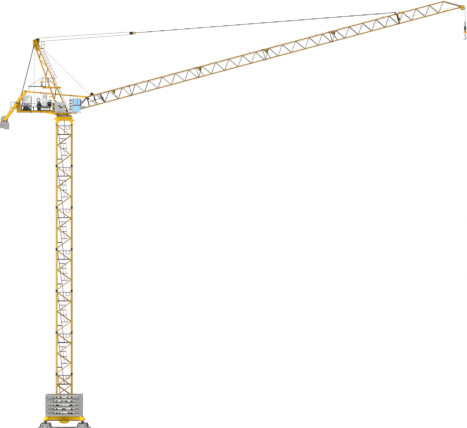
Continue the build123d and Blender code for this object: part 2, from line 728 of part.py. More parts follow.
def jib_panel(chords, webs, joint_ends, eyes, rests):
    with BuildPart() as panel:
        with BuildSketch(upright(0)):
            for run in chords:
                with BuildLine():
                    Polyline(*run)
                trace(line_width=jib_chord)
        extrude(amount=jib_chord / 2, both=True)
        with BuildSketch(upright(0)):
            for run in webs:
                with BuildLine():
                    Polyline(*run)
                trace(line_width=jib_brace)
        extrude(amount=jib_brace / 2, both=True)
        with BuildSketch(upright(0)):
            for u in joint_ends:
                with Locations((u, 0), (u, jib_depth)):
                    Rectangle(80, jib_collar)
        extrude(amount=jib_collar / 2, both=True)
        if rests:
            with BuildSketch(upright(0)):
                with Locations(*[(u, jib_depth + 80) for u in rests]):
                    Rectangle(28, 110)
            extrude(amount=14, both=True)
        for u, v, radius, bore in eyes:
            with BuildSketch(upright(0)):
                with Locations((u, v)):
                    RegularPolygon(radius, 12)
            extrude(amount=jib_chord / 2, both=True)
            if bore:
                with BuildSketch(upright(0)):
                    with Locations((u, v)):
                        RegularPolygon(bore, 12, major_radius=False)
                extrude(amount=jib_chord, both=True, mode=Mode.SUBTRACT)
    return panel.part


foot_last = foot_length - jib_post_inset
foot_panel = jib_panel(
    [
        [(0, 0), (foot_length - 0.2, 0)],
        [(foot_brace_reach, jib_depth), (foot_length - 0.2, jib_depth)],
        [(420, 0), (foot_brace_reach, jib_depth), (foot_brace_reach, 0)],
    ],
    [
        [(foot_brace_reach, jib_depth), (1915, 0), (1925, jib_depth)],
        [(2337, jib_depth), (2490, 0), (3021, jib_depth), (3484, 0), (foot_last - 420, jib_depth), (foot_last, 0)],
    ],
    [foot_length - 40.2],
    [(0, 0, 62, pin_radius + pin_fit), (foot_brace_reach, jib_depth, 62, 0)],
    [],
)
panel_step = jib_section / jib_panels
section_lower = [jib_post_inset] + [i * panel_step for i in range(1, jib_panels)]
section_lower.append(jib_section - jib_post_inset)
section_upper = [(i + 0.5) * panel_step for i in range(jib_panels)]
section_panel = jib_panel(
    [[(0.2, 0), (jib_section - 0.2, 0)], [(0.2, jib_depth), (jib_section - 0.2, jib_depth)]],
    [[(jib_post_inset, jib_depth), (jib_post_inset, 0)], warren(section_lower, section_upper)],
    [40.2, jib_section - 40.2],
    [],
    [jib_section * 0.227, jib_section * 0.811],
)
tip_step = tip_upper_length / 3.556
tip_lower = [jib_post_inset] + [i * tip_step for i in range(1, 4)]
tip_upper = [(i + 0.5) * tip_step for i in range(3)] + [tip_upper_length]
tip_panel = jib_panel(
    [
        [(0.2, 0), (tip_end - tip_start, -10)],
        [(0.2, jib_depth), (tip_upper_length, jib_depth), (tip_end - tip_start, 60)],
    ],
    [[(jib_post_inset, jib_depth), (jib_post_inset, 0)], warren(tip_lower, tip_upper)],
    [40.2],
    [],
    [],
)
jib_tilt = Location((jib_pivot_x, 0, jib_pivot_z), (0, -jib_angle, 0))
for side, name in zip(sides, ("jib_near_side", "jib_far_side")):
    y = side * jib_half_width
    with BuildPart() as jib_side:
        add(foot_panel.moved(Location((0, y, 0))).moved(jib_tilt))
        for u in joints[:-1]:
            add(section_panel.moved(Location((u, y, 0))).moved(jib_tilt))
        add(tip_panel.moved(Location((tip_start, y, 0))).moved(jib_tilt))
        pin_length = 2 * (rod_y + rod_size / 2 + 5 - jib_half_width)
        add(disc(rod_front_x, y + side * pin_length / 4, rod_front_z, 30, pin_length / 2))
        add(disc(rod_front_x, side * (rod_y - rod_size / 2 - 20), rod_front_z, 50, 30, 12))
        lug = [(pendant_u - 130, jib_depth), (pendant_u - 40, pendant_v + 20), (pendant_u, pendant_v + 45)]
        lug += [(pendant_u - 0.4, jib_depth)]
        add(plate([(u, v) for u, v in lug], along_jib(y), 30))
        add(disc(pendant_x, y - side * 30, pendant_z, 20, 90))
    save(jib_side, name)

# Bracing between the jib sides
jib_inner = jib_half_width - jib_chord / 2
cross_sets = {
    "jib_top_bracing": (jib_depth, [(1990, foot_length - 130)], tip_start + tip_upper_length),
    "jib_bottom_bracing": (0, [(200, foot_length - 130)], tip_end - 60),
}
for name, (v, runs, tip_limit) in cross_sets.items():
    runs = runs + [(u + 130, u + jib_section - 130) for u in joints[:-1]]
    runs.append((tip_start + 130, tip_limit - 130))
    with BuildPart() as bracing:
        for start, stop in runs:
            bays = max(2, round((stop - start) / 940))
            bay = (stop - start) / bays
            spots = [(start + i * bay, (-1) ** i * jib_inner) for i in range(bays + 1)]
            with BuildSketch(across_jib(v)):
                with BuildLine():
                    Polyline(*spots)
                trace(line_width=40)
                with Locations(((start + stop) / 2, 0)):
                    Rectangle(stop - start + 400, 2 * jib_inner, mode=Mode.INTERSECT)
            extrude(amount=jib_brace / 2, both=True)
        if v:
            with BuildSketch(across_jib(v)):
                with Locations((foot_brace_reach + 90, 0)):
                    Rectangle(60, 2 * jib_inner)
            extrude(amount=jib_brace / 2, both=True)
    save(bracing, name)


# Sheaves at the foot and tip of the jib, with their cross shafts
def jib_point(u, v):
    return jib_pivot_x + u * jib_cos - v * jib_sin, jib_pivot_z + u * jib_sin + v * jib_cos


foot_sheave_u = 1790
foot_sheave_v = 800
foot_sheave_radius = 110
with BuildPart() as jib_sheaves:
    x, z = jib_point(foot_sheave_u, foot_sheave_v)
    add(disc(x, 0, z, foot_sheave_radius, 40, 24))
    add(disc(x, 0, z, 25, 2 * jib_half_width + 40, 8))
    chord_top = jib_depth + jib_chord / 2
    for side in sides:
        stand = [(foot_sheave_u - 60, chord_top), (foot_sheave_u + 60, chord_top)]
        stand += [(foot_sheave_u + 25, foot_sheave_v + 25), (foot_sheave_u - 25, foot_sheave_v + 25)]
        add(plate(stand, along_jib(side * jib_half_width), 30))
    for y in (-45, 45):
        add(disc(tip_x, y, tip_z, tip_sheave_radius, 40, 24))
    add(disc(tip_x, 0, tip_z, 30, 2 * jib_half_width - jib_chord, 8))
    for side in sides:
        cheek = [(tip_end - 50, -90), (tip_reach + 60, -tip_drop - 60)]
        cheek += [(tip_reach + 60, -tip_drop + 60), (tip_end - 50, 110)]
        add(plate(cheek, along_jib(side * (jib_inner - 12)), 24))
save(jib_sheaves, "jib_sheaves")

# Rope rollers under the upper chords
hanger_top = jib_depth - jib_chord / 2
hanger_gauge = (jib_chord - jib_brace) / 2
roller_spots = [(foot_length - 1108, 550)] + [(u + 260, 550) for u in joints[1:-1]]
roller_spots.append((tip_start + 122, 283))
with BuildPart() as rope_rollers:
    for u, v in roller_spots:
        x, z = jib_point(u, v)
        add(disc(x, 0, z, 40, 80, 12, 15))
        add(disc(x, 0, z, 14, 2 * jib_inner, 6))
        flare = 110 if v > jib_depth / 2 else 35
        for side in sides:
            hanger = [(u - 35, v - 120), (u + 35, v - 120), (u + flare, hanger_top), (u - flare, hanger_top)]
            add(plate(hanger, along_jib(side * (jib_inner + hanger_gauge / 2)), hanger_gauge))
save(rope_rollers, "rope_rollers")

# Hoist rope along the jib
rope_run = [(foot_sheave_u, foot_sheave_v - foot_sheave_radius - rope_seat)]
rope_run += [(u, v + 40 + rope_seat) for u, v in roller_spots]
rope_run += [(tip_reach, tip_sheave_radius + rope_seat - tip_drop)]
with BuildPart() as jib_hoist_rope:
    rope_points = [Vector(jib_point(u, v)[0], 0, jib_point(u, v)[1]) for u, v in rope_run]
    with BuildLine():
        Polyline(*rope_points)
    with BuildSketch(Plane(origin=rope_points[0], x_dir=(0, 1, 0), z_dir=rope_points[1] - rope_points[0])):
        RegularPolygon(rope_radius, 6)
    sweep(transition=Transition.RIGHT)
save(jib_hoist_rope, "jib_hoist_rope")

# Coupling rods from the jib foot to the lever heads
with BuildPart() as coupling_rods:
    for side in sides:
        front = (rod_front_x, side * rod_y, rod_front_z)
        rear = (rod_rear_x, side * rod_y, rod_rear_z)
        add(strut(front, rear, rod_size, 84))
        add(disc(*front, 62, rod_size, 12))
        add(disc(*rear, 62, rod_size, 12))
        with BuildSketch(upright(side * rod_y)):
            with Locations((rod_front_x, rod_front_z)):
                RegularPolygon(30 + pin_fit, 12, major_radius=False, rotation=15)
        extrude(amount=rod_size, both=True, mode=Mode.SUBTRACT)
save(coupling_rods, "coupling_rods")

# Counterweight lever: two arms joined by the weight shaft
with BuildPart() as counterweight_lever:
    for side in sides:
        y = side * lever_y
        add(strut((weight_x, y, weight_z), (rod_rear_x, y, rod_rear_z), lever_thickness, lever_depth))
        for end_x, end_z in ((weight_x, weight_z), (rod_rear_x, rod_rear_z)):
            add(disc(end_x, y, end_z, lever_depth / 2, lever_thickness, 16))
        with BuildSketch(upright(y)):
            with Locations((lever_pivot_x, lever_pivot_z)):
                RegularPolygon(45 + pin_fit, 12, major_radius=False, rotation=15)
        extrude(amount=lever_thickness, both=True, mode=Mode.SUBTRACT)
    add(disc(weight_x, 0, weight_z, 45, 2 * lever_y))
save(counterweight_lever, "counterweight_lever")

# Hanger plates and counterweight block
with BuildPart() as counterweight_hanger:
    for y in (-495, 495):
        with BuildSketch(upright(y)):
            with Locations((weight_x, weight_z + 118)):
                RegularPolygon(240, 20)
            with Locations((weight_x, weight_z + 10)):
                Rectangle(480, 216)
            with Locations((weight_x, weight_z + 130)):
                Rectangle(480, 456, mode=Mode.INTERSECT)
            with Locations((weight_x, weight_z)):
                RegularPolygon(45 + pin_fit, 12, major_radius=False, rotation=15, mode=Mode.SUBTRACT)
        extrude(amount=15, both=True)
save(counterweight_hanger, "counterweight_hanger")
block_outline = [(-380, -98), (-380, -500), (0, -500), (0, -585), (310, -585), (310, -98)]
with BuildPart() as counterweight_block:
    add(plate([(weight_x + x, weight_z + z) for x, z in block_outline], upright(0), 1240))
save(counterweight_block, "counterweight_block")

# Pendant bars from the jib to the luffing block
pendant_run = Vector(luffing_block_x - pendant_x, 0, luffing_block_z - pendant_z)
pendant_length = pendant_run.length
pendant_dir = pendant_run.normalized()
pendant_start = Vector(pendant_x, 0, pendant_z)
block_y = 180
with BuildPart() as pendant_bars:
    for side in sides:
        lug_y = side * (jib_half_width - 50)
        near = pendant_start + pendant_dir * 400
        far = pendant_start + pendant_dir * (pendant_length - 400)
        add(disc(pendant_x, lug_y, pendant_z, 42, 30, 12, bore=20 + pin_fit))
        eye_link = strut(tuple(pendant_start + pendant_dir * 35), tuple(near), 30, 36)
        add(eye_link.moved(Location((0, lug_y, 0))))
        bar_start = near - pendant_dir * 30
        add(strut((bar_start.X, lug_y, bar_start.Z), (far.X, side * block_y, far.Z), 26, 26))
        tail_start = far - pendant_dir * 10
        tail_end = pendant_start + pendant_dir * (pendant_length - 40)
        add(strut(tuple(tail_start), tuple(tail_end), 26, 30).moved(Location((0, side * block_y, 0))))
        add(disc(luffing_block_x, side * block_y, luffing_block_z, 46, 26, 12, bore=25 + pin_fit))
save(pendant_bars, "pendant_bars")

# Luffing block with its sheaves
with BuildPart() as luffing_block:
    for side in sides:
        cheek = [(-40, -110), (330, -60), (330, 60), (-40, 110), (-110, 60), (-110, -60)]
        spots = []
        for a, b in cheek:
            run_x = luffing_block_x - pendant_dir.X * a - pendant_dir.Z * b
            run_z = luffing_block_z - pendant_dir.Z * a + pendant_dir.X * b
            spots.append((run_x, run_z))
        add(plate(spots, upright(side * (block_y + 13.3 + 12)), 24))
    for y in (-120, -40, 40, 120):
        add(disc(luffing_block_x, y, luffing_block_z, 84, 30, 16, tackle_turn))
    add(disc(luffing_block_x, 0, luffing_block_z, 25, 2 * block_y + 40, 12))
save(luffing_block, "luffing_block")

# Luffing ropes between the head sheaves and the luffing block
across_x = -block_rise / math.hypot(block_rise, block_ahead)
across_z = block_ahead / math.hypot(block_rise, block_ahead)
with BuildPart() as luffing_ropes:
    for y in (-120, -40, 40, 120):
        for edge in (-1, 1):
            rise = edge * head_sheave_radius
            drop = edge * (84 + rope_seat)
            start = (head_sheave_x + rise * across_x, y, head_sheave_z + rise * across_z)
            stop = (luffing_block_x + drop * across_x, y, luffing_block_z + drop * across_z)
            run = Vector(*stop) - Vector(*start)
            with BuildSketch(Plane(origin=start, x_dir=(0, 1, 0), z_dir=run)):
                RegularPolygon(rope_radius, 6)
            extrude(amount=run.length)
save(luffing_ropes, "luffing_ropes")

# Hoist rope from the head to the jib foot, and from the winch up to the head
foot_x, foot_z = jib_point(foot_sheave_u, foot_sheave_v)
reach = hoist_sheave_radius + rope_seat
near = foot_sheave_radius + rope_seat
span = math.hypot(foot_x - hoist_sheave_x, hoist_sheave_z - foot_z)
slope = math.atan2(hoist_sheave_z - foot_z, foot_x - hoist_sheave_x) + math.asin((reach + near) / span)
with BuildPart() as hoist_rope_span:
    start = (hoist_sheave_x + reach * math.sin(slope), 0, hoist_sheave_z + reach * math.cos(slope))
    stop = (foot_x - near * math.sin(slope), 0, foot_z - near * math.cos(slope))
    run = Vector(*stop) - Vector(*start)
    with BuildSketch(Plane(origin=start, x_dir=(0, 1, 0), z_dir=run)):
        RegularPolygon(rope_radius, 6)
    extrude(amount=run.length)
save(hoist_rope_span, "hoist_rope_span")
with BuildPart() as winch_rope:
    rope_x = hoist_sheave_x - hoist_sheave_radius - rope_radius - rope_fit
    add(strut((rope_x, 0, deck_top + 230), (rope_x, 0, hoist_sheave_z), 12, 12))
    add(disc(rope_x - 66.5, 0, deck_top + 230, 60, 30, 16))
    add(slab((rope_x - 90, rope_x - 40), (-40, -15), (deck_top, deck_top + 250)))
    add(slab((rope_x - 90, rope_x - 40), (15, 40), (deck_top, deck_top + 250)))
save(winch_rope, "winch_rope")

# Rope falls, hook block and hook
with BuildPart() as hook_falls:
    for y in (-45, 45):
        with BuildSketch(Plane.XY.offset(block_top)):
            with Locations((fall_x, y)):
                RegularPolygon(rope_radius, 6)
        extrude(amount=tip_z - block_top)
save(hook_falls, "hook_falls")
with BuildPart() as hook_block:
    add(slab((fall_x - 45, fall_x + 45), (-70, 70), (block_top - 315, block_top)))
    add(slab((fall_x - 73, fall_x + 73), (-110, 110), (block_top - 720, block_top - 315)))
    with BuildSketch(Plane.XY.offset(block_top - 810)):
        with Locations((fall_x, 0)):
            RegularPolygon(130, 16)
            RegularPolygon(30.2, 12, major_radius=False, rotation=15, mode=Mode.SUBTRACT)
    extrude(amount=91)
save(hook_block, "hook_block")
shank_top = block_top - 740
bowl_z = block_top - 1130
with BuildPart() as hook:
    with BuildSketch(Plane.XY.offset(bowl_z + 60)):
        with Locations((fall_x, 0)):
            RegularPolygon(30, 12)
    extrude(amount=shank_top - bowl_z - 60)
    with BuildSketch(upright(0)):
        with Locations((fall_x, bowl_z)):
            RegularPolygon(110, 20)
            RegularPolygon(58, 16, mode=Mode.SUBTRACT)
            with Locations((-75, 60)):
                Rectangle(90, 110, mode=Mode.SUBTRACT)
    extrude(amount=28, both=True)
save(hook, "hook")
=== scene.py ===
"""Luffing-jib tower crane at half size: finishes, fine pieces, floor, light and camera."""

import math

import bpy
from bpy.props import FloatProperty, PointerProperty, StringProperty
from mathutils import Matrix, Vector


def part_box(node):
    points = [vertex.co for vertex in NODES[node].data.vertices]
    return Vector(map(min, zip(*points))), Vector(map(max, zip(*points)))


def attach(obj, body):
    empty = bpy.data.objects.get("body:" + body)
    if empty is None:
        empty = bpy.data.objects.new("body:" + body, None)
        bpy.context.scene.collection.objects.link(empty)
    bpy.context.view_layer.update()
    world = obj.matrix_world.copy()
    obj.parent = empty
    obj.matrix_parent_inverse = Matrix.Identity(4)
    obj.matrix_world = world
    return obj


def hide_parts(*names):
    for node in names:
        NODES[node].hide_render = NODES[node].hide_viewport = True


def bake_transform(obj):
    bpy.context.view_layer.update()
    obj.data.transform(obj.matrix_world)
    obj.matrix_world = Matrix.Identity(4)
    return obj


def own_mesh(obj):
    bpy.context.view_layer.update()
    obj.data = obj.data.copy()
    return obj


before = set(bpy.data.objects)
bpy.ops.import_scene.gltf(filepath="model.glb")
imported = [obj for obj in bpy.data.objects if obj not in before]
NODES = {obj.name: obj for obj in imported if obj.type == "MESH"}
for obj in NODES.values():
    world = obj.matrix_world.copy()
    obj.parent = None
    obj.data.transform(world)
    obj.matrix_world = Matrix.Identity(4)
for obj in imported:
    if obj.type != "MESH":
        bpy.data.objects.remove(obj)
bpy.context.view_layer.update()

bl_info = {
    "name": "Luffing Tower Crane",
    "version": (1, 0, 0),
    "blender": (4, 5, 0),
    "location": "View3D > Sidebar > Crane",
    "description": "Finishes and fine pieces for a luffing tower crane on rails",
    "category": "Add Mesh",
}

ACROSS = Vector((0, 1, 0))
UPWARD = Vector((0, 0, 1))
SIDES = (-1, 1)
CORNERS = [(x, y) for x in SIDES for y in SIDES]

# Levels and lengths in metres, in the shared frame
MIDDLE_Y = sum(corner.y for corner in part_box("track_rails")) / 2
HALF_GAUGE = 1.293
MAST_FOOT = 0.885
SECTION = 2.9
PLATFORM_RISE = 2.2
RING_SEAT = 21.725
PLATFORM_TOP = 22.015
DECK_TOP = 22.132
MID_PLATFORM_TOP = 23.8

# The jib's own axes: u runs along the lower chord from the pivot, v stands square to it
JIB_ANGLE = math.radians(15)
JIB_PIVOT = Vector((0.404, MIDDLE_Y, 22.0635))
JIB_DEPTH = 0.686
JIB_JOINTS = [4.415 + 4.82 * i for i in range(5)]

# Pins of the linkage and middles of the sheaves, in the side view
WEIGHT_PIN = Vector((-4.168, 0, 21.4257))
LEVER_PIVOT = Vector((-3.277, 0, 22.6656))
LEVER_HEAD = Vector((-2.690, 0, 23.482))
ROD_FRONT = Vector((1.5894, 0, 23.0913))
PENDANT_PIN = Vector((23.0817, 0, 28.9796))
LUFFING_BLOCK = Vector((4.656, 0, 27.539))
UPPER_HEAD_SHEAVE = Vector((-1.861, 0, 27.071))
LOWER_HEAD_SHEAVE = Vector((-1.917, 0, 26.674))
TIP_SHEAVE = Vector((27.774, 0, 29.3166))
FOOT_SHEAVE = (1.790, 0.800)
DAVIT_BALL = Vector((-1.590, MIDDLE_Y - 0.150, 24.135))


class StageSettings(bpy.types.PropertyGroup):
    floor_size: FloatProperty(
        name="Floor size", description="Length of the square floor's side", default=90.0, unit="LENGTH")
    camera_distance: FloatProperty(
        name="Camera distance", description="From the crane's middle to the camera",
        default=452.0, unit="LENGTH")
    camera_lens: FloatProperty(name="Lens", description="Focal length in millimetres", default=500.0)
    view_x: FloatProperty(
        name="View centre X", description="Where the camera looks, along the track",
        default=11.80, unit="LENGTH")
    view_z: FloatProperty(
        name="View centre Z", description="Where the camera looks, above the rails",
        default=14.94, unit="LENGTH")
    sun_strength: FloatProperty(name="Sun", description="Strength of the key light", default=1.35)
    sky_strength: FloatProperty(
        name="Sky", description="Strength of the soft light from all round", default=0.86)


class PaintSettings(bpy.types.PropertyGroup):
    yellow: StringProperty(name="Yellow", description="Structural enamel, sRGB hex", default="#F2BC00")
    mast: StringProperty(
        name="Mast yellow", description="Enamel of the mast chords, sRGB hex", default="#D4A92E")
    # Painted shade: the mast's jib-side chords get this darker yellow in place of the shade on that side
    mast_painted_shade: StringProperty(
        name="Mast rear painted shade", description="Enamel of the jib-side mast chords, sRGB hex",
        default="#B58808")
    tie: StringProperty(
        name="Tie frame yellow", description="Enamel of the tie frame and rods, sRGB hex", default="#CC9A04")
    deck: StringProperty(
        name="Deck yellow", description="Enamel of the counter-jib beams, sRGB hex", default="#BE9000")
    jib: StringProperty(
        name="Jib yellow", description="Enamel of the jib chords, sRGB hex", default="#AC8208")
    brace: StringProperty(
        name="Brace yellow", description="Enamel of the thin bars, sRGB hex", default="#A67C1A")
    grey: StringProperty(name="Light grey", description="Cabinet enamel, sRGB hex", default="#DDDFE1")
    dark: StringProperty(name="Dark grey", description="Machinery enamel, sRGB hex", default="#2B2D31")
    zinc: StringProperty(name="Zinc", description="Galvanised steel, sRGB hex", default="#A2A5A7")
    concrete: StringProperty(name="Concrete", description="Cast ballast, sRGB hex", default="#A2A2A0")


# Colours and nodes
def linear(code):
    values = [int(code.lstrip("#")[i:i + 2], 16) / 255 for i in (0, 2, 4)]
    return (*[v / 12.92 if v <= 0.04045 else ((v + 0.055) / 1.055) ** 2.4 for v in values], 1.0)


def add_node(tree, kind, sockets=(), **settings):
    node = tree.nodes.new(kind)
    for key, value in settings.items():
        setattr(node, key, value)
    for key, value in dict(sockets).items():
        if isinstance(value, bpy.types.NodeSocket):
            tree.links.new(value, node.inputs[key])
        else:
            node.inputs[key].default_value = value
    return node


def new_material(name):
    material = bpy.data.materials.new(name)
    material.use_nodes = True
    tree = material.node_tree
    tree.nodes.clear()
    output = add_node(tree, "ShaderNodeOutputMaterial")
    shader = add_node(tree, "ShaderNodeBsdfPrincipled")
    tree.links.new(shader.outputs[0], output.inputs[0])
    place = add_node(tree, "ShaderNodeTexCoord").outputs["Object"]
    return tree, shader, place


def mottled(tree, place, base, other, size_mm, low, high, stretch=(1, 1, 1)):
    # Soft patches of a second tone, size_mm across
    spread = add_node(tree, "ShaderNodeMapping", {"Vector": place, "Scale": stretch})
    sockets = {"Vector": spread.outputs[0], "Scale": 1000 / size_mm, "Detail": 4.0}
    noise = add_node(tree, "ShaderNodeTexNoise", sockets)
    sockets = {"Value": noise.outputs[0], "From Min": low, "From Max": high}
    ramp = add_node(tree, "ShaderNodeMapRange", sockets)
    mix = add_node(tree, "ShaderNodeMix", {0: ramp.outputs[0], 6: base, 7: other}, data_type="RGBA")
    return mix.outputs[2]


def bump(tree, shader, place, size_mm, depth_mm):
    # Fine relief, drawn coarser than the real one so that it shows at this size
    noise = add_node(tree, "ShaderNodeTexNoise", {"Vector": place, "Scale": 1000 / size_mm, "Detail": 3.0})
    sockets = {"Height": noise.outputs[0], "Distance": depth_mm / 1000, "Strength": 0.5}
    relief = add_node(tree, "ShaderNodeBump", sockets)
    tree.links.new(relief.outputs[0], shader.inputs["Normal"])


def banded(tree, value, low, high):
    # 1 where the value lies between the two bounds
    above = add_node(tree, "ShaderNodeMath", {0: value, 1: low}, operation="GREATER_THAN").outputs[0]
    below = add_node(tree, "ShaderNodeMath", {0: value, 1: high}, operation="LESS_THAN").outputs[0]
    return add_node(tree, "ShaderNodeMath", {0: above, 1: below}, operation="MULTIPLY").outputs[0]


def coat(tree, shader, colour, roughness):
    # Old site enamel is chalky, so it shines less than new paint
    tree.links.new(colour, shader.inputs["Base Color"])
    shader.inputs["Roughness"].default_value = roughness
    shader.inputs["Specular IOR Level"].default_value = 0.2


def enamel(name, code, worn, roughness):
    # Sprayed alkyd enamel on steel: even colour, slightly chalky, darker where water runs down
    tree, shader, place = new_material(name)
    colour = mottled(tree, place, linear(code), linear(worn), 420, 0.48, 0.78, (1, 1, 0.25))
    coat(tree, shader, colour, roughness)
    bump(tree, shader, place, 40, 0.15)


def mast_enamel(name, yellow, shaded, brace, joint):
    # Chord angles carry the full coat, thin braces look darker, and the joint collars are dark steel. The
    # chords on the jib side, where x is above 0, get a darker yellow: painted shade for that side of the
    # mast
    tree, shader, place = new_material(name)
    parts = add_node(tree, "ShaderNodeSeparateXYZ", {0: place})
    x, y, z = parts.outputs
    centred = add_node(tree, "ShaderNodeMath", {0: y, 1: MIDDLE_Y}, operation="SUBTRACT").outputs[0]
    inside_chords = []
    for value in (x, centred):
        offset = add_node(tree, "ShaderNodeMath", {0: value}, operation="ABSOLUTE").outputs[0]
        inside = add_node(tree, "ShaderNodeMath", {0: offset, 1: 0.469}, operation="LESS_THAN").outputs[0]
        inside_chords.append(inside)
    sockets = dict(enumerate(inside_chords))
    thin = add_node(tree, "ShaderNodeMath", sockets, operation="MAXIMUM").outputs[0]
    # Painted shade mask: 1 on the jib side of the mast, where x is above 0
    rear = add_node(tree, "ShaderNodeMath", {0: x, 1: 0.0}, operation="GREATER_THAN").outputs[0]
    height = add_node(tree, "ShaderNodeMath", {0: z, 1: MAST_FOOT - 0.08}, operation="SUBTRACT").outputs[0]
    cycle = add_node(tree, "ShaderNodeMath", {0: height, 1: SECTION}, operation="FLOORED_MODULO").outputs[0]
    collar = add_node(tree, "ShaderNodeMath", {0: cycle, 1: 0.16}, operation="LESS_THAN").outputs[0]
    colour = mottled(tree, place, linear(yellow), linear("#C89A28"), 420, 0.48, 0.78, (1, 1, 0.25))
    for share, code in ((rear, shaded), (thin, brace), (collar, joint)):
        mix = add_node(tree, "ShaderNodeMix", {0: share, 6: colour, 7: linear(code)}, data_type="RGBA")
        colour = mix.outputs[2]
    coat(tree, shader, colour, 0.42)
    bump(tree, shader, place, 40, 0.15)


def jib_enamel(name, yellow, brace, tip_brace):
    # The chords carry the full coat, and the thin web bars between them look darker
    tree, shader, place = new_material(name)
    moved = add_node(tree, "ShaderNodeVectorMath", {0: place, 1: JIB_PIVOT}, operation="SUBTRACT").outputs[0]
    up = Vector((-math.sin(JIB_ANGLE), 0, math.cos(JIB_ANGLE)))
    depth = add_node(tree, "ShaderNodeVectorMath", {0: moved, 1: up}, operation="DOT_PRODUCT")
    along = Vector((math.cos(JIB_ANGLE), 0, math.sin(JIB_ANGLE)))
    reach = add_node(tree, "ShaderNodeVectorMath", {0: moved, 1: along}, operation="DOT_PRODUCT")
    outer = add_node(tree, "ShaderNodeMath", {0: reach.outputs["Value"], 1: 23.9}, operation="GREATER_THAN")
    sockets = {0: outer.outputs[0], 6: linear(brace), 7: linear(tip_brace)}
    web = add_node(tree, "ShaderNodeMix", sockets, data_type="RGBA").outputs[2]
    thin = banded(tree, depth.outputs["Value"], 0.036, 0.650)
    full = mottled(tree, place, linear(yellow), linear("#96700A"), 420, 0.48, 0.78)
    bars = add_node(tree, "ShaderNodeMix", {0: thin, 6: full, 7: web}, data_type="RGBA").outputs[2]
    coat(tree, shader, bars, 0.42)
    bump(tree, shader, place, 40, 0.15)


def davit_enamel(name, dark, ball):
    # The davit's bars are black, and its slewing ball is yellow
    tree, shader, place = new_material(name)
    away = add_node(tree, "ShaderNodeVectorMath", {0: place, 1: DAVIT_BALL}, operation="DISTANCE")
    near = add_node(tree, "ShaderNodeMath", {0: away.outputs["Value"], 1: 0.135}, operation="LESS_THAN")
    bars = mottled(tree, place, linear(dark), linear("#2A2825"), 300, 0.45, 0.75)
    both = add_node(tree, "ShaderNodeMix", {0: near.outputs[0], 6: bars, 7: linear(ball)}, data_type="RGBA")
    coat(tree, shader, both.outputs[2], 0.42)


def hook_block_enamel(name, yellow):
    # Grey rope guard above, black cheeks with a yellow middle, yellow swivel ring below
    tree, shader, place = new_material(name)
    parts = add_node(tree, "ShaderNodeSeparateXYZ", {0: place})
    colour = mottled(tree, place, linear("#17171A"), linear("#242428"), 120, 0.45, 0.75)
    for low, high, code in ((28.016, 28.4, "#808284"), (27.655, 27.755, "#C49606"), (27.4, 27.609, yellow)):
        band = banded(tree, parts.outputs[2], low, high)
        mix = add_node(tree, "ShaderNodeMix", {0: band, 6: colour, 7: linear(code)}, data_type="RGBA")
        colour = mix.outputs[2]
    coat(tree, shader, colour, 0.45)
    bump(tree, shader, place, 40, 0.15)


def metal(name, code, other, roughness, metallic=0.35, size_mm=180):
    # Rolled, drawn or cast steel: a grey with a soft patchy sheen
    tree, shader, place = new_material(name)
    colour = mottled(tree, place, linear(code), linear(other), size_mm, 0.42, 0.72)
    tree.links.new(colour, shader.inputs["Base Color"])
    shader.inputs["Roughness"].default_value = roughness
    shader.inputs["Metallic"].default_value = metallic
    bump(tree, shader, place, 35, 0.8)


def cast_concrete(name, code, other):
    # Precast slabs: matt, cloudy grey with pores and rain marks
    tree, shader, place = new_material(name)
    cloud = mottled(tree, place, linear(code), linear(other), 520, 0.40, 0.70, (1, 1, 1.6))
    pores = add_node(tree, "ShaderNodeTexVoronoi", {"Vector": place, "Scale": 1000 / 70})
    hole = add_node(tree, "ShaderNodeMath", {0: pores.outputs["Distance"], 1: 0.16}, operation="LESS_THAN")
    sockets = {0: hole.outputs[0], 6: cloud, 7: linear("#7F7F7C")}
    speck = add_node(tree, "ShaderNodeMix", sockets, data_type="RGBA").outputs[2]
    tree.links.new(speck, shader.inputs["Base Color"])
    shader.inputs["Roughness"].default_value = 0.88
    bump(tree, shader, place, 45, 3.0)


def tinted_glass(name, code):
    # Laminated cab glass: smooth, blue tinted, a little see-through
    tree, shader, place = new_material(name)
    shader.inputs["Base Color"].default_value = linear(code)
    shader.inputs["Roughness"].default_value = 0.06
    shader.inputs["Alpha"].default_value = 0.9


# Modelling helpers
def at(x, y, z):
    # y counts from the crane's middle plane
    return Vector((x, MIDDLE_Y + y, z))


def beside(spot, y):
    # A spot of the side view, whose first value is x and last is z, at its own y
    return at(spot[0], y, spot[-1])


def jib_at(u, y, v):
    x = JIB_PIVOT.x + u * math.cos(JIB_ANGLE) - v * math.sin(JIB_ANGLE)
    z = JIB_PIVOT.z + u * math.sin(JIB_ANGLE) + v * math.cos(JIB_ANGLE)
    return Vector((x, MIDDLE_Y + y, z))


def bar(start, end, width, depth):
    # Square bar between two points. Width is level and square to the run, depth is square to both
    run = end - start
    turn = run.to_track_quat("Z", "Y").to_euler()
    bpy.ops.mesh.primitive_cube_add(size=1, location=(start + end) / 2, rotation=turn)
    bpy.context.object.scale = (width, depth, run.length)
    return bpy.context.object


def strip(start, end, y, thick, tall):
    # Level or sloping bar between two spots of the side view
    return bar(beside(start, y), beside(end, y), thick, tall)


def post(x, y, low, high, length, thick):
    # Upright bar: length lies along X and thick along Y
    return bar(at(x, y, low), at(x, y, high), length, thick)


def jib_strip(start, end, y, thick, tall):
    # Bar between two spots of the jib's side, each given as u and v
    return bar(jib_at(start[0], y, start[1]), jib_at(end[0], y, end[1]), thick, tall)


def block(low, high):
    # Box between two corners
    bpy.ops.mesh.primitive_cube_add(size=1, location=(low + high) / 2)
    bpy.context.object.scale = high - low
    return bpy.context.object


def rod(start, end, radius, sides=8):
    # Round bar between two points
    run = end - start
    turn = run.to_track_quat("Z", "Y").to_euler()
    middle = (start + end) / 2
    bpy.ops.mesh.primitive_cylinder_add(
        vertices=sides, radius=radius, depth=run.length, location=middle, rotation=turn)
    return bpy.context.object


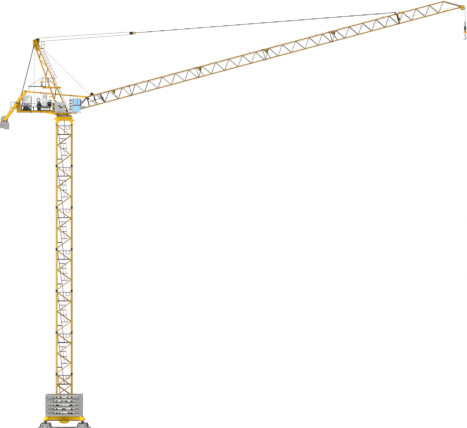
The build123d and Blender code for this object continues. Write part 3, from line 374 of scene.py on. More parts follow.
def dished(centre, axis, radius, length, dish, rim, sides=32):
    # Wheel, cap or drum end: a disc whose two faces are sunk inside a rim
    turn = axis.to_track_quat("Z", "Y").to_euler()
    bpy.ops.mesh.primitive_cylinder_add(
        vertices=sides, radius=radius, depth=length, location=centre, rotation=turn)
    bpy.ops.object.mode_set(mode="EDIT")
    bpy.ops.mesh.select_mode(type="FACE")
    bpy.ops.mesh.select_all(action="DESELECT")
    bpy.ops.object.mode_set(mode="OBJECT")
    for face in bpy.context.object.data.polygons:
        face.select = abs(face.normal.z) > 0.9
    bpy.ops.object.mode_set(mode="EDIT")
    bpy.ops.mesh.inset(thickness=rim, depth=-dish, use_individual=True)
    bpy.ops.object.mode_set(mode="OBJECT")
    return bpy.context.object


def cap(spot, y, radius, length, dish, rim, sides=32):
    # Dished disc that faces the side view
    return dished(beside(spot, y), ACROSS, radius, length, dish, rim, sides)


def jib_cap(u, v, y, radius, length, dish, rim, sides=32):
    return dished(jib_at(u, y, v), ACROSS, radius, length, dish, rim, sides)


def hoop(centre, axis, radius, thickness, sides=24):
    # Ring of round bar
    turn = axis.to_track_quat("Z", "Y").to_euler()
    bpy.ops.mesh.primitive_torus_add(
        major_radius=radius, minor_radius=thickness, major_segments=sides, minor_segments=8,
        location=centre, rotation=turn)
    return bpy.context.object


def bow(start, middle, end, width, depth, steps=8):
    # Flat bar bent in an arc through three points
    pull = middle * 2 - (start + end) / 2
    bars = []
    last = start
    for i in range(1, steps + 1):
        share = i / steps
        here = start * (1 - share) ** 2 + pull * (2 * share * (1 - share)) + end * share ** 2
        bars.append(bar(last, here, width, depth))
        last = here
    return bars


def piece(name, parts, finish, body, edge=0.002, smooth=False, sections=1):
    # Joins parts into one object, breaks its edges, repeats it up the mast and gives it a finish and a body
    bpy.ops.object.select_all(action="DESELECT")
    for part in parts:
        part.select_set(True)
    bpy.context.view_layer.objects.active = parts[0]
    if len(parts) > 1:
        bpy.ops.object.join()
    obj = bpy.context.view_layer.objects.active
    obj.name = name
    obj.data.name = name
    bpy.ops.object.transform_apply(location=True, rotation=True, scale=True)
    if edge:
        bevel = obj.modifiers.new("edges", "BEVEL")
        bevel.width = edge
        bevel.segments = 1
        bevel.limit_method = "ANGLE"
        bevel.angle_limit = math.radians(50)
        bpy.ops.object.modifier_apply(modifier="edges")
    if sections > 1:
        array = obj.modifiers.new("repeat", "ARRAY")
        array.count = sections
        array.use_relative_offset = False
        array.use_constant_offset = True
        array.constant_offset_displace = (0, 0, SECTION)
        bpy.ops.object.modifier_apply(modifier="repeat")
    bpy.ops.object.mode_set(mode="EDIT")
    bpy.ops.mesh.select_all(action="SELECT")
    bpy.ops.mesh.remove_doubles(threshold=0.00001)
    bpy.ops.mesh.normals_make_consistent(inside=False)
    bpy.ops.object.mode_set(mode="OBJECT")
    if smooth:
        bpy.ops.object.shade_smooth_by_angle(angle=math.radians(40))
    obj.data.materials.clear()
    obj.data.materials.append(bpy.data.materials[finish])
    if body:
        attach(obj, body)
    return obj


# Operators
class CRANE_OT_stage(bpy.types.Operator):
    """Floor, light, sky and camera"""

    bl_idname = "crane.stage"
    bl_label = "Stage"

    def execute(self, context):
        settings = context.scene.crane_stage
        bpy.ops.object.select_all(action="DESELECT")
        spot = (settings.view_x, MIDDLE_Y, -0.002)
        bpy.ops.mesh.primitive_plane_add(size=settings.floor_size, location=spot)
        floor = context.object
        floor.name = "studio_floor"
        bpy.ops.object.transform_apply(location=True, rotation=True, scale=True)
        # Pale matt floor: the camera sees it partly glow to white, and it keeps the crane's shadow
        finish = "pale_studio_floor"
        tree, shader, place = new_material(finish)
        shader.inputs["Base Color"].default_value = linear("#F4F4F4")
        shader.inputs["Roughness"].default_value = 0.9
        path = add_node(tree, "ShaderNodeLightPath")
        glow = add_node(tree, "ShaderNodeEmission", {"Color": (1, 1, 1, 1), "Strength": 1.12})
        seen = path.outputs["Is Camera Ray"]
        share = add_node(tree, "ShaderNodeMath", {0: seen, 1: 0.6}, operation="MULTIPLY")
        sockets = {0: share.outputs[0], 1: shader.outputs[0], 2: glow.outputs[0]}
        mix = add_node(tree, "ShaderNodeMixShader", sockets)
        output = [n for n in tree.nodes if n.type == "OUTPUT_MATERIAL"][0]
        tree.links.new(mix.outputs[0], output.inputs[0])
        floor.data.materials.append(bpy.data.materials[finish])

        # The background is white to the camera and in reflections, and lights the crane less than that
        world = bpy.data.worlds.new("studio_sky")
        context.scene.world = world
        world.use_nodes = True
        sky = world.node_tree
        sky.nodes.clear()
        path = add_node(sky, "ShaderNodeLightPath")
        seen = path.outputs["Is Camera Ray"]
        for ray in ("Is Glossy Ray", "Is Transmission Ray"):
            sockets = {0: seen, 1: path.outputs[ray]}
            seen = add_node(sky, "ShaderNodeMath", sockets, operation="MAXIMUM").outputs[0]
        sockets = {"Value": seen, "To Min": settings.sky_strength, "To Max": 1.0}
        level = add_node(sky, "ShaderNodeMapRange", sockets)
        back = add_node(sky, "ShaderNodeBackground", {"Color": (1, 1, 1, 1), "Strength": level.outputs[0]})
        out = add_node(sky, "ShaderNodeOutputWorld")
        sky.links.new(back.outputs[0], out.inputs[0])

        bpy.ops.object.light_add(type="SUN", rotation=(math.radians(50), 0, math.radians(-32)))
        sun = context.object
        sun.name = "key_sun"
        sun.data.energy = settings.sun_strength
        sun.data.angle = math.radians(12)

        place = (settings.view_x, MIDDLE_Y - settings.camera_distance, settings.view_z)
        bpy.ops.object.camera_add(location=place, rotation=(math.radians(90), 0, 0))
        camera = context.object
        camera.name = "photo_camera"
        camera.data.lens = settings.camera_lens
        camera.data.sensor_width = 36.0
        camera.data.clip_end = 2000.0
        context.scene.camera = camera
        context.scene.view_settings.view_transform = "Standard"
        return {"FINISHED"}


class CRANE_OT_finishes(bpy.types.Operator):
    """Paint, steel, concrete and glass on the crane's main pieces"""

    bl_idname = "crane.finishes"
    bl_label = "Finishes"

    def execute(self, context):
        paint = context.scene.crane_paint
        # Enamels and paints, each with its fresh tone, its weathered tone and its roughness
        for name, code, worn, roughness in (
            ("yellow_enamel", paint.yellow, "#EDB300", 0.42),
            # Painted light: the base frame gets a brighter yellow than the other yellow steel, to offset the
            # shade on its turned faces
            ("base_yellow_enamel", "#FFD012", "#F4C200", 0.42),
            ("tie_frame_enamel", paint.tie, "#B88A04", 0.42),
            ("deck_yellow_enamel", paint.deck, "#AC8000", 0.42),
            ("brace_yellow_enamel", "#6E5C22", "#5C4E20", 0.42),
            ("olive_web_enamel", "#4D4930", "#3B3828", 0.42),
            ("ochre_rib_enamel", "#9A7400", "#866600", 0.5),
            ("light_grey_enamel", paint.grey, "#D9DBDD", 0.45),
            ("mid_grey_enamel", "#A9ABAD", "#989A9C", 0.5),
            ("seam_grey_enamel", "#7C7F83", "#6B6E72", 0.5),
            ("blue_grey_enamel", "#9C9DA8", "#8E8F9A", 0.5),
            ("cab_grey_enamel", "#CDD1D4", "#C2C6CA", 0.4),
            ("switch_box_enamel", "#BDBDBB", "#AEAEAC", 0.45),
            ("dark_grey_enamel", paint.dark, "#34363A", 0.5),
            ("black_enamel", "#141414", "#222324", 0.5),
            # Masonry paint on the counterweight is matt, and the lips of cast slabs lie in shade
            ("block_grey_paint", "#A2A2A2", "#949494", 0.7),
            ("shaded_concrete_edge", "#4A4A49", "#3E3E3D", 0.85),
            # Moulded acrylic shines more than any paint
            ("red_lamp_lens", "#9A1712", "#7E120F", 0.2),
        ):
            enamel(name, code, worn, roughness)
        # The mast's jib-side chords take the darker yellow of painted shade
        mast_enamel("mast_yellow_enamel", paint.mast, paint.mast_painted_shade, paint.brace, "#0C0B08")
        jib_enamel("jib_yellow_enamel", paint.jib, "#2E2A18", "#7A5C12")
        davit_enamel("davit_black_enamel", "#1B1A18", paint.yellow)
        hook_block_enamel("hook_block_enamel", paint.yellow)

        # Dipped zinc weathers to a patchy matt grey, darker on gratings and tubes that hold dirt
        metal("hot_dip_galvanised_steel", paint.zinc, "#7B7E80", 0.55)
        metal("weathered_galvanised_grating", "#3C3E40", "#303234", 0.6)
        metal("dark_galvanised_tube", "#2E3032", "#3A3C3E", 0.55)
        metal("thin_galvanised_rail", "#8A8D8F", "#7C7F81", 0.55)
        # Plated bolts stay brighter, and the rail's and wheels' treads are worn bare
        metal("zinc_plated_bolts", "#7E8184", "#66696B", 0.45, 0.6, 60)
        metal("rolled_rail_steel", "#8F8D8A", "#75726F", 0.5)
        # Greased iron, wire and forgings are dark with a dull sheen
        metal("cast_sheave_iron", "#3C3D40", "#2B2C2E", 0.5)
        metal("drawn_rope_wire", "#4A4B4D", "#38393B", 0.5, size_mm=40)
        metal("forged_hook_steel", "#6E7073", "#5C5E61", 0.5)
        cast_concrete("precast_concrete", paint.concrete, "#939391")
        tinted_glass("pale_cab_glass", "#9FD4FB")
        tinted_glass("blue_windscreen_glass", "#3D5A70")

        for finish, names in (
            ("precast_concrete", ("ballast_near", "ballast_far", "ballast_left", "ballast_right")),
            ("mast_yellow_enamel", ("mast_near_side", "mast_far_side", "mast_left_side", "mast_right_side")),
            ("jib_yellow_enamel", ("jib_near_side", "jib_far_side")),
            ("brace_yellow_enamel", ("jib_top_bracing", "jib_bottom_bracing")),
            ("yellow_enamel", ("ring_support", "slewing_platform", "counterweight_lever")),
            # The base frame takes the brighter yellow of painted light
            ("base_yellow_enamel", ("base_frame",)),
            ("tie_frame_enamel", ("a_frame", "mid_platform", "coupling_rods", "rope_rollers")),
            ("deck_yellow_enamel", ("counter_jib",)),
            ("davit_black_enamel", ("service_davit",)),
            ("light_grey_enamel", ("winch_hood", "control_cabinet")),
            ("switch_box_enamel", ("switch_cabinet",)),
            ("mid_grey_enamel", ("bogies", "counterweight_hanger")),
            ("blue_grey_enamel", ("slewing_ring_lower", "slewing_ring_upper")),
            ("dark_grey_enamel", ("corner_pivots", "luffing_winch", "hoist_winch", "counter_jib_stays")),
            ("dark_grey_enamel", ("pendant_bars", "luffing_block")),
            ("hook_block_enamel", ("hook_block",)),
            ("forged_hook_steel", ("hook",)),
            ("block_grey_paint", ("counterweight_block",)),
            ("dark_galvanised_tube", ("mast_ladders",)),
            ("hot_dip_galvanised_steel", ("side_walkways", "head_basket", "deck_handrails")),
            ("weathered_galvanised_grating", ("mast_platforms",)),
            ("rolled_rail_steel", ("track_rails", "travel_wheels")),
            ("cast_sheave_iron", ("head_sheaves", "jib_sheaves")),
            ("drawn_rope_wire", ("winch_rope", "jib_hoist_rope")),
            ("drawn_rope_wire", ("luffing_ropes", "hoist_rope_span", "hook_falls")),
            ("cab_grey_enamel", ("cab_shell",)),
        ):
            for name in names:
                mesh = NODES[name].data
                mesh.materials.clear()
                mesh.materials.append(bpy.data.materials[finish])
        return {"FINISHED"}


class CRANE_OT_mast_fittings(bpy.types.Operator):
    """Ladder cages, platform rails and edges, ladder ties and joint bolts in the mast"""

    bl_idname = "crane.mast_fittings"
    bl_label = "Mast Fittings"

    def execute(self, context):
        level = MAST_FOOT + PLATFORM_RISE
        above = level + SECTION
        ladder_y = -0.2
        ladder_top = 0.014
        lean = (-0.440 - ladder_top) / 3.37

        def ladder_x(z):
            return ladder_top + lean * (z - level - 0.03)

        cage = []
        for drop in (0.29, 0.63, 0.98, 1.46):
            z = above - drop
            x = ladder_x(z)
            ends = [at(x, ladder_y + side * 0.115, z) for side in SIDES]
            cage += bow(ends[0], at(x + 0.42, ladder_y, z), ends[1], 0.045, 0.045)
        foot, top = above - 1.48, above - 0.27
        for y, reach in ((-0.30, 0.20), (-0.2, 0.42), (-0.1, 0.20)):
            cage.append(strip((ladder_x(foot) + reach, foot), (ladder_x(top) + reach, top), y, 0.040, 0.016))
        piece("ladder_cages", cage, "black_enamel", "base", 0.001, sections=6)

        inner = 0.49
        rails, edges = [], []
        for y in (-inner, inner):
            rails.append(strip((-inner, level + 0.60), (inner, level + 0.60), y, 0.030, 0.050))
            rails.append(strip((0.115, level + 0.35), (0.365, level + 0.35), y, 0.022, 0.022))
            for x in (0.125, 0.355):
                rails.append(post(x, y, level + 0.36, level + 0.60, 0.022, 0.022))
            edges.append(strip((-inner, level - 0.005), (inner, level - 0.005), y, 0.012, 0.060))
        piece("platform_rails", rails, "thin_galvanised_rail", "base", sections=7)
        piece("platform_edges", edges, "weathered_galvanised_grating", "base", sections=7)

        z = level + 1.18
        ties = [strip((-inner, z), (-0.17, z), y, 0.05, 0.07) for y in (-0.31, -0.09)]
        ties.append(block(at(-0.25, -0.34, z - 0.025), at(-0.19, -0.06, z + 0.025)))
        piece("ladder_ties", ties, "black_enamel", "base", sections=6)

        chord = 0.525
        bolts = []
        for x, y in CORNERS:
            for rise in (-0.030, 0.030):
                for shift in (-0.035, 0.035):
                    middle = at(x * chord + shift, y * chord, MAST_FOOT + SECTION + rise)
                    bolts.append(rod(middle + ACROSS * y * 0.064, middle + ACROSS * y * 0.078, 0.013, 6))
        piece("joint_bolts", bolts, "zinc_plated_bolts", "base", 0, sections=6)
        return {"FINISHED"}


class CRANE_OT_bogie_fittings(bpy.types.Operator):
    """Flanged wheels, bogie covers and travel motors"""

    bl_idname = "crane.bogie_fittings"
    bl_label = "Bogie Fittings"

    def execute(self, context):
        axle_z, axle_shift = 0.190, 0.175
        wheels, caps, motors = [], [], []
        for x, y in CORNERS:
            bogie_x, bogie_y = x * HALF_GAUGE, y * HALF_GAUGE
            for shift in (-axle_shift, axle_shift):
                axle = (bogie_x + shift, axle_z)
                wheels.append(cap(axle, bogie_y, 0.1148, 0.0396, 0.008, 0.022, 40))
                for edge in SIDES:
                    wheels.append(cap(axle, bogie_y + edge * 0.0225, 0.122, 0.005, 0.0015, 0.010, 40))
            for face in SIDES:
                plane = bogie_y + face * 0.083
                for shift in (-axle_shift, axle_shift):
                    caps.append(cap((bogie_x + shift, axle_z), plane, 0.052, 0.018, 0.005, 0.012, 24))
                for shift in (-0.29, 0.29):
                    foot = (bogie_x + shift * 1.25, 0.10)
                    caps.append(strip(foot, (bogie_x + shift, 0.36), plane, 0.010, 0.060))
                caps.append(strip((bogie_x - 0.3, 0.355), (bogie_x + 0.3, 0.355), plane, 0.010, 0.030))
            shaft = at(x * (HALF_GAUGE - axle_shift), y * (HALF_GAUGE - 0.08), 0.245)
            inward = ACROSS * -y
            motors.append(dished(shaft + inward * 0.06, ACROSS, 0.055, 0.11, 0.006, 0.01, 24))
            for i in range(6):
                fin = shaft + inward * (0.13 + 0.018 * i)
                motors.append(dished(fin, ACROSS, 0.05, 0.008, 0.002, 0.01, 24))
            motors.append(rod(shaft + inward * 0.11, shaft + inward * 0.25, 0.041, 16))
        wheels = piece("flanged_wheels", wheels, "rolled_rail_steel", "base", 0.0015, True)
        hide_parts("travel_wheels")
        piece("bogie_caps", caps, "black_enamel", "base")
        piece("travel_motors", motors, "dark_grey_enamel", "base", 0.001)
        return {"FINISHED"}


class CRANE_OT_base_fittings(bpy.types.Operator):
    """Flanges and ribs of the base beams, ballast pockets and rail clips"""

    bl_idname = "crane.base_fittings"
    bl_label = "Base Fittings"

    def execute(self, context):
        # Each arm has a bottom flange, a top flange and ribs on both faces, and a plate across its tip. The
        # bottom flanges are black as painted shade, standing in for the shadow line under each beam
        middle = at(0, 0, 0)
        flanges, ribs = [], []
        for x, y in CORNERS:
            run = Vector((x, y, 0)).normalized()
            square = Vector((-run.y, run.x, 0))
            tip = middle + run * 1.907 + UPWARD * 0.580
            flanges.append(bar(tip - square * 0.12, tip + square * 0.12, 0.050, 0.012))
            for face in SIDES:
                web = middle + square * face * 0.126
                for z, reach, wide, tall in ((0.574, 1.915, 0.012, 0.050), (0.874, 1.69, 0.010, 0.014)):
                    level = web + UPWARD * z
                    flanges.append(bar(level + run * 0.20, level + run * reach, wide, tall))
                for reach in (1.44, 1.66):
                    foot = web + run * reach + UPWARD * 0.59
                    ribs.append(bar(foot, foot + UPWARD * 0.27, 0.030, 0.012))
                foot = web + run * 1.52 + UPWARD * 0.60
                ribs.append(bar(foot, foot + run * 0.11 + UPWARD * 0.24, 0.012, 0.016))
        # Black here is partly painted shade: the bottom flanges stand for the shadow line under the beams
        piece("beam_flanges", flanges, "black_enamel", "base", 0.001)
        piece("beam_ribs", ribs, "ochre_rib_enamel", "base", 0.001)

        low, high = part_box("ballast_near")
        slab = (high.z - low.z) / 11
        face = MIDDLE_Y - low.y + 0.004
        pockets = []
        for y in (-face, face):
            for x in (-0.86, 0.86):
                for layer in (1, 3, 5, 8):
                    z = low.z + slab * (layer + 0.5)
                    pockets.append(strip((x - 0.22, z), (x + 0.22, z), y, 0.008, 0.030))
                for layer in (2, 4, 7, 9):
                    z = low.z + slab * (layer + 0.5)
                    for shift in (-0.27, 0.27):
                        pockets.append(post(x + shift, y, z - 0.045, z + 0.045, 0.012, 0.008))
                    pockets.append(strip((x - 0.27, z - 0.045), (x + 0.27, z - 0.045), y, 0.008, 0.010))
        piece("ballast_pockets", pockets, "shaded_concrete_edge", "base", 0.001)

        clips = []
        for y, side in CORNERS:
            for i in range(13):
                corner = at(-1.82 + 0.3 * i, y * HALF_GAUGE + side * 0.022 - 0.012, 0.0135)
                clips.append(block(corner, corner + Vector((0.04, 0.024, 0.009))))
        piece("rail_clips", clips, "black_enamel", "base", 0.001)
        return {"FINISHED"}


class CRANE_OT_slewing_gear(bpy.types.Operator):
    """Ring bolts, slewing motors and the platform's ribs and pins"""

    bl_idname = "crane.slewing_gear"
    bl_label = "Slewing Gear"

    def execute(self, context):
        bolts = []
        for i in range(36):
            turn = math.radians(10 * i)
            foot = at(0.49 * math.cos(turn), 0.49 * math.sin(turn), RING_SEAT)
            bolts.append(rod(foot - UPWARD * 0.001, foot + UPWARD * 0.012, 0.012, 6))
        piece("ring_bolts", bolts, "blue_grey_enamel", "base", 0)

        gear = []
        for y in (-0.36, 0.36):
            for z, radius, length in ((22.06, 0.105, 0.09), (22.20, 0.085, 0.19)):
                gear.append(dished(at(-0.42, y, z), UPWARD, radius, length, 0.008, 0.02))
            for i in range(8):
                gear.append(dished(at(-0.42, y, 22.13 + 0.02 * i), UPWARD, 0.096, 0.008, 0.002, 0.02))
        piece("slewing_motors", gear, "dark_grey_enamel", "upper", 0.001, True)

        ribs, pins = [], []
        for side in SIDES:
            wall = side * 0.546
            for x in (-0.55, -0.28, 0.0, 0.27):
                ribs.append(post(x, wall, 21.84, 22.005, 0.026, 0.012))
            ribs.append(strip((-0.6, 21.838), (0.325, 21.838), wall, 0.012, 0.020))
            for x in (-0.42, 0.23):
                pins.append(cap((x, 21.90), side * 0.553, 0.05, 0.012, 0.004, 0.014))
            lug = side * 0.449
            pins.append(cap(JIB_PIVOT, lug, 0.06, 0.012, 0.004, 0.014))
            pins.append(block(at(0.20, lug - 0.01, 21.87), at(0.27, lug + 0.01, 21.93)))
        piece("platform_ribs", ribs, "brace_yellow_enamel", "upper", 0.001)
        piece("platform_pins", pins, "black_enamel", "upper", 0.001)
        return {"FINISHED"}


class CRANE_OT_tie_frame_fittings(bpy.types.Operator):
    """Bracing, caged ladder, head pins, lamp and platform rails of the tie frame"""

    bl_idname = "crane.tie_frame_fittings"
    bl_label = "Tie Frame Fittings"

    def execute(self, context):
        # Each leg has its x at the foot and at the head
        rear_leg, front_leg = (-0.362, -2.14), (0.272, -1.979)

        def on_leg(leg, z, side):
            share = (z - PLATFORM_TOP) / 4.917
            return at(leg[0] + (leg[1] - leg[0]) * share, side * (0.43 - 0.2 * share), z)

        bracing = []
        heights = (22.3, 22.9, 23.8, 24.5, 25.15, 25.75, 26.25)
        for side in SIDES:
            for i, (low, high) in enumerate(zip(heights, heights[1:])):
                start, stop = (rear_leg, front_leg) if i % 2 else (front_leg, rear_leg)
                bracing.append(bar(on_leg(start, low, side), on_leg(stop, high, side), 0.034, 0.034))
        piece("frame_bracing", bracing, "olive_web_enamel", "upper")

        foot = Vector((front_leg[0] + 0.14, 22.02))
        head = Vector((front_leg[1] + 0.14, 26.932))
        run = head - foot
        outward = Vector((run.y, -run.x)).normalized()
        strings = (-0.33, -0.07)

        def on_ladder(share, out=0):
            return foot + run * share + outward * out

        ladder = [strip(on_ladder(0.02), on_ladder(0.97), y, 0.024, 0.016) for y in strings]
        for i in range(34):
            spot = on_ladder(0.03 + 0.028 * i)
            ladder.append(rod(beside(spot, strings[0]), beside(spot, strings[1]), 0.009, 6))
        for i in range(10):
            share = 0.48 + 0.042 * i
            near, far = [beside(on_ladder(share), y) for y in strings]
            ladder += bow(near, beside(on_ladder(share, 0.18), -0.2), far, 0.03, 0.012)
        for y, out in ((-0.30, 0.12), (-0.2, 0.175), (-0.10, 0.12)):
            ladder.append(strip(on_ladder(0.48, out), on_ladder(0.86, out), y, 0.024, 0.010))
        for i in range(5):
            spot = on_ladder(0.1 + 0.2 * i)
            for y in strings:
                ladder.append(bar(beside(spot, y), on_leg(front_leg, spot.y, -1), 0.016, 0.016))
        piece("frame_ladder", ladder, "dark_galvanised_tube", "upper", 0.001)

        pins = []
        for y in (-0.262, 0.262):
            pins.append(cap(UPPER_HEAD_SHEAVE, y, 0.085, 0.014, 0.004, 0.02))
            pins.append(cap(LOWER_HEAD_SHEAVE, y, 0.060, 0.014, 0.004, 0.016))
            for start, stop, tall in (
                ((-1.80, 27.03), (-1.87, 26.56), 0.045),
                ((-2.06, 27.05), (-2.02, 26.60), 0.030),
                ((-2.15, 26.86), (-1.82, 26.90), 0.026),
                ((-2.08, 27.075), (-1.74, 27.120), 0.026),
            ):
                pins.append(strip(start, stop, y, 0.012, tall))
        piece("head_pins", pins, "black_enamel", "upper", 0.001)

        lamp = [
            rod(at(-1.75, 0.20, 27.10), at(-1.75, 0.20, 27.125), 0.03, 12),
            dished(at(-1.75, 0.20, 27.15), UPWARD, 0.04, 0.05, 0.004, 0.012),
        ]
        piece("warning_lamp", lamp, "red_lamp_lens", "upper", 0.001)

        rails = []
        rear, front, rail_top = -1.53, -0.70, MID_PLATFORM_TOP + 0.62
        for y in (-0.285, 0.285):
            for z in (MID_PLATFORM_TOP + 0.35, rail_top):
                rails.append(strip((rear, z), (front, z), y, 0.02, 0.02))
            for x in (rear, -1.1, front):
                rails.append(post(x, y, MID_PLATFORM_TOP, rail_top, 0.02, 0.02))
        piece("mid_platform_rails", rails, "dark_galvanised_tube", "upper")
        return {"FINISHED"}


class CRANE_OT_winch_fittings(bpy.types.Operator):
    """Hood frame, rope turns, gear and guards of the two winches"""

    bl_idname = "crane.winch_fittings"
    bl_label = "Winch Fittings"

    def execute(self, context):
        frame_bars = []
        for side in SIDES:
            y = side * 0.344
            for x in (-2.905, -2.285):
                frame_bars.append(post(x, y, DECK_TOP + 0.352, DECK_TOP + 0.99, 0.034, 0.012))
            for z in (DECK_TOP + 0.36, DECK_TOP + 0.52):
                frame_bars.append(strip((-2.9, z), (-2.285, z), y, 0.012, 0.026))
            for i in range(5):
                z = DECK_TOP + 0.40 + 0.022 * i
                frame_bars.append(strip((-2.8, z), (-2.4, z), y, 0.010, 0.008))
            for x in (-2.98, -2.31):
                frame_bars.append(post(x, side * 0.32, DECK_TOP + 0.05, DECK_TOP + 0.40, 0.05, 0.05))
            z = DECK_TOP + 0.30
            frame_bars.append(strip((-2.98, z), (-2.31, z), side * 0.335, 0.02, 0.05))
        piece("hood_frame", frame_bars, "black_enamel", "upper")

        for name, x, z, radius in (
            ("luffing_rope_turns", -2.625, DECK_TOP + 0.20, 0.114),
            ("hoist_rope_turns", -1.76, DECK_TOP + 0.32, 0.134),
        ):
            turns = [hoop(at(x, -0.225 + 0.03 * i, z), ACROSS, radius, 0.0125) for i in range(16)]
            piece(name, turns, "drawn_rope_wire", "upper", 0, True)

        hub_x, hub_z = -1.781, DECK_TOP + 0.75
        cover = [cap((hub_x, hub_z), -0.392, 0.088, 0.02, 0.004, 0.02)]
        for i in range(10):
            turn = math.radians(36 * i)
            spot = at(hub_x + 0.115 * math.cos(turn), -0.386, hub_z + 0.115 * math.sin(turn))
            cover.append(rod(spot, spot - ACROSS * 0.012, 0.012, 6))
        piece("ring_gear_cover", cover, "light_grey_enamel", "upper", 0.001, True)

        motor_z = DECK_TOP + 0.44
        gear = [
            strip((-1.75, DECK_TOP + 0.62), (-1.50, DECK_TOP + 0.28), -0.34, 0.05, 0.07),
            strip((-1.86, DECK_TOP + 0.55), (-1.62, DECK_TOP + 0.55), -0.34, 0.04, 0.10),
            rod(at(-1.05, -0.24, motor_z), at(-1.05, 0.24, motor_z), 0.11, 20),
            cap((-1.05, motor_z), -0.26, 0.10, 0.04, 0.006, 0.02),
            strip((-1.09, DECK_TOP + 0.73), (-0.86, DECK_TOP + 0.73), -0.25, 0.05, 0.05),
            post(-0.97, -0.25, DECK_TOP + 0.64, DECK_TOP + 0.73, 0.04, 0.04),
        ]
        for i in range(5):
            gear.append(post(-1.16 + 0.06 * i, -0.228, DECK_TOP + 0.33, DECK_TOP + 0.60, 0.016, 0.02))
        piece("hoist_gearbox", gear, "black_enamel", "upper", 0.003)

        guards = []
        for low, high in ((-0.325, -0.305), (0.305, 0.325)):
            guards.append(block(at(-1.62, low, DECK_TOP + 0.12), at(-1.11, high, DECK_TOP + 0.20)))
        piece("motor_guards", guards, "light_grey_enamel", "upper", 0.003)
        return {"FINISHED"}


class CRANE_OT_cabinet_fittings(bpy.types.Operator):
    """Seams, vents and stop button of the cabinets"""

    bl_idname = "crane.cabinet_fittings"
    bl_label = "Cabinet Fittings"

    def execute(self, context):
        low, middle, high = DECK_TOP + 0.32, DECK_TOP + 0.90, DECK_TOP + 1.14
        seams = []
        for y in (-0.283, 0.283):
            for x in (-1.475, -1.219):
                seams.append(post(x, y, low, high, 0.008, 0.014))
            seams.append(strip((-1.475, middle), (-1.219, middle), y, 0.008, 0.010))
        for x in (-1.4875, -1.2065):
            seams.append(post(x, 0, low, high, 0.02, 0.008))
        piece("cabinet_seams", seams, "black_enamel", "upper", 0.001)

        lines = []
        for z in (22.03, 22.30, 22.50, 22.70):
            lines.append(strip((-0.64, z), (0.04, z), -0.903, 0.008, 0.009))
        for x in (-0.648, -0.30, 0.048):
            lines.append(post(x, -0.903, 22.03, 22.70, 0.008, 0.009))
        piece("cabinet_lines", lines, "seam_grey_enamel", "upper", 0.001)

        vents = [
            block(at(-0.36, -0.925, 22.43), at(-0.25, -0.90, 22.49)),
            block(at(-0.30, -0.925, 22.33), at(-0.10, -0.90, 22.40)),
            block(at(-0.45, -0.918, 22.40), at(-0.41, -0.90, 22.44)),
            cap((0.155, 22.13), -0.80, 0.062, 0.06, 0.01, 0.015),
            block(at(0.12, -0.82, PLATFORM_TOP), at(0.19, -0.78, 22.08)),
        ]
        piece("cabinet_vents", vents, "black_enamel", "upper", 0.003)
        button = [cap((-0.028, 22.43), -0.91, 0.035, 0.03, 0.004, 0.01)]
        piece("stop_button", button, "red_lamp_lens", "upper", 0.001)
        return {"FINISHED"}


class CRANE_OT_deck_fittings(bpy.types.Operator):
    """Pins, edge strips, brackets, rear guard and end posts of the counter-jib deck"""

    bl_idname = "crane.deck_fittings"
    bl_label = "Deck Fittings"

    def execute(self, context):
        pins = []
        for side in SIDES:
            for x in (-2.283, -1.589):
                pins.append(cap((x, 22.035), side * 0.452, 0.045, 0.02, 0.004, 0.012))
            pins.append(cap(LEVER_PIVOT, side * 0.655, 0.036, 0.012, 0.004, 0.01))
        piece("deck_pins", pins, "black_enamel", "upper", 0.001)

        strips = [strip((-3.0, 22.142), (-0.82, 22.142), y, 0.010, 0.030) for y in (-0.453, 0.453)]
        piece("deck_edge_strips", strips, "black_enamel", "upper", 0.001)

        brackets = []
        for y in (-0.385, 0.385):
            brackets.append(strip((-1.066, 23.125), (-0.72, 23.125), y, 0.050, 0.05))
            brackets.append(strip((-1.05, 23.13), (-0.80, 23.02), y, 0.020, 0.02))
        piece("frame_brackets", brackets, "yellow_enamel", "upper")

        guard = []
        rear, low, high = -3.72, 22.28, 22.74
        for y in (-0.40, 0.40):
            for z in (low, high):
                guard.append(strip((-3.29, z), (rear, z), y, 0.022, 0.022))
            for x in (rear, -3.46):
                guard.append(post(x, y, low, high, 0.022, 0.022))
        for z in (low, 22.51, high):
            guard.append(bar(at(rear, -0.40, z), at(rear, 0.40, z), 0.022, 0.022))
        piece("rear_guard", guard, "thin_galvanised_rail", "upper")

        posts, covers = [], []
        for side in SIDES:
            posts.append(post(-0.75, side * 0.438, 22.01, 22.665, 0.13, 0.05))
            for low, high in ((22.06, 22.24), (22.32, 22.54)):
                covers.append(post(-0.75, side * 0.466, low, high, 0.065, 0.008))
        piece("deck_end_posts", posts, "black_enamel", "upper")
        piece("deck_post_covers", covers, "yellow_enamel", "upper", 0.001)
        return {"FINISHED"}


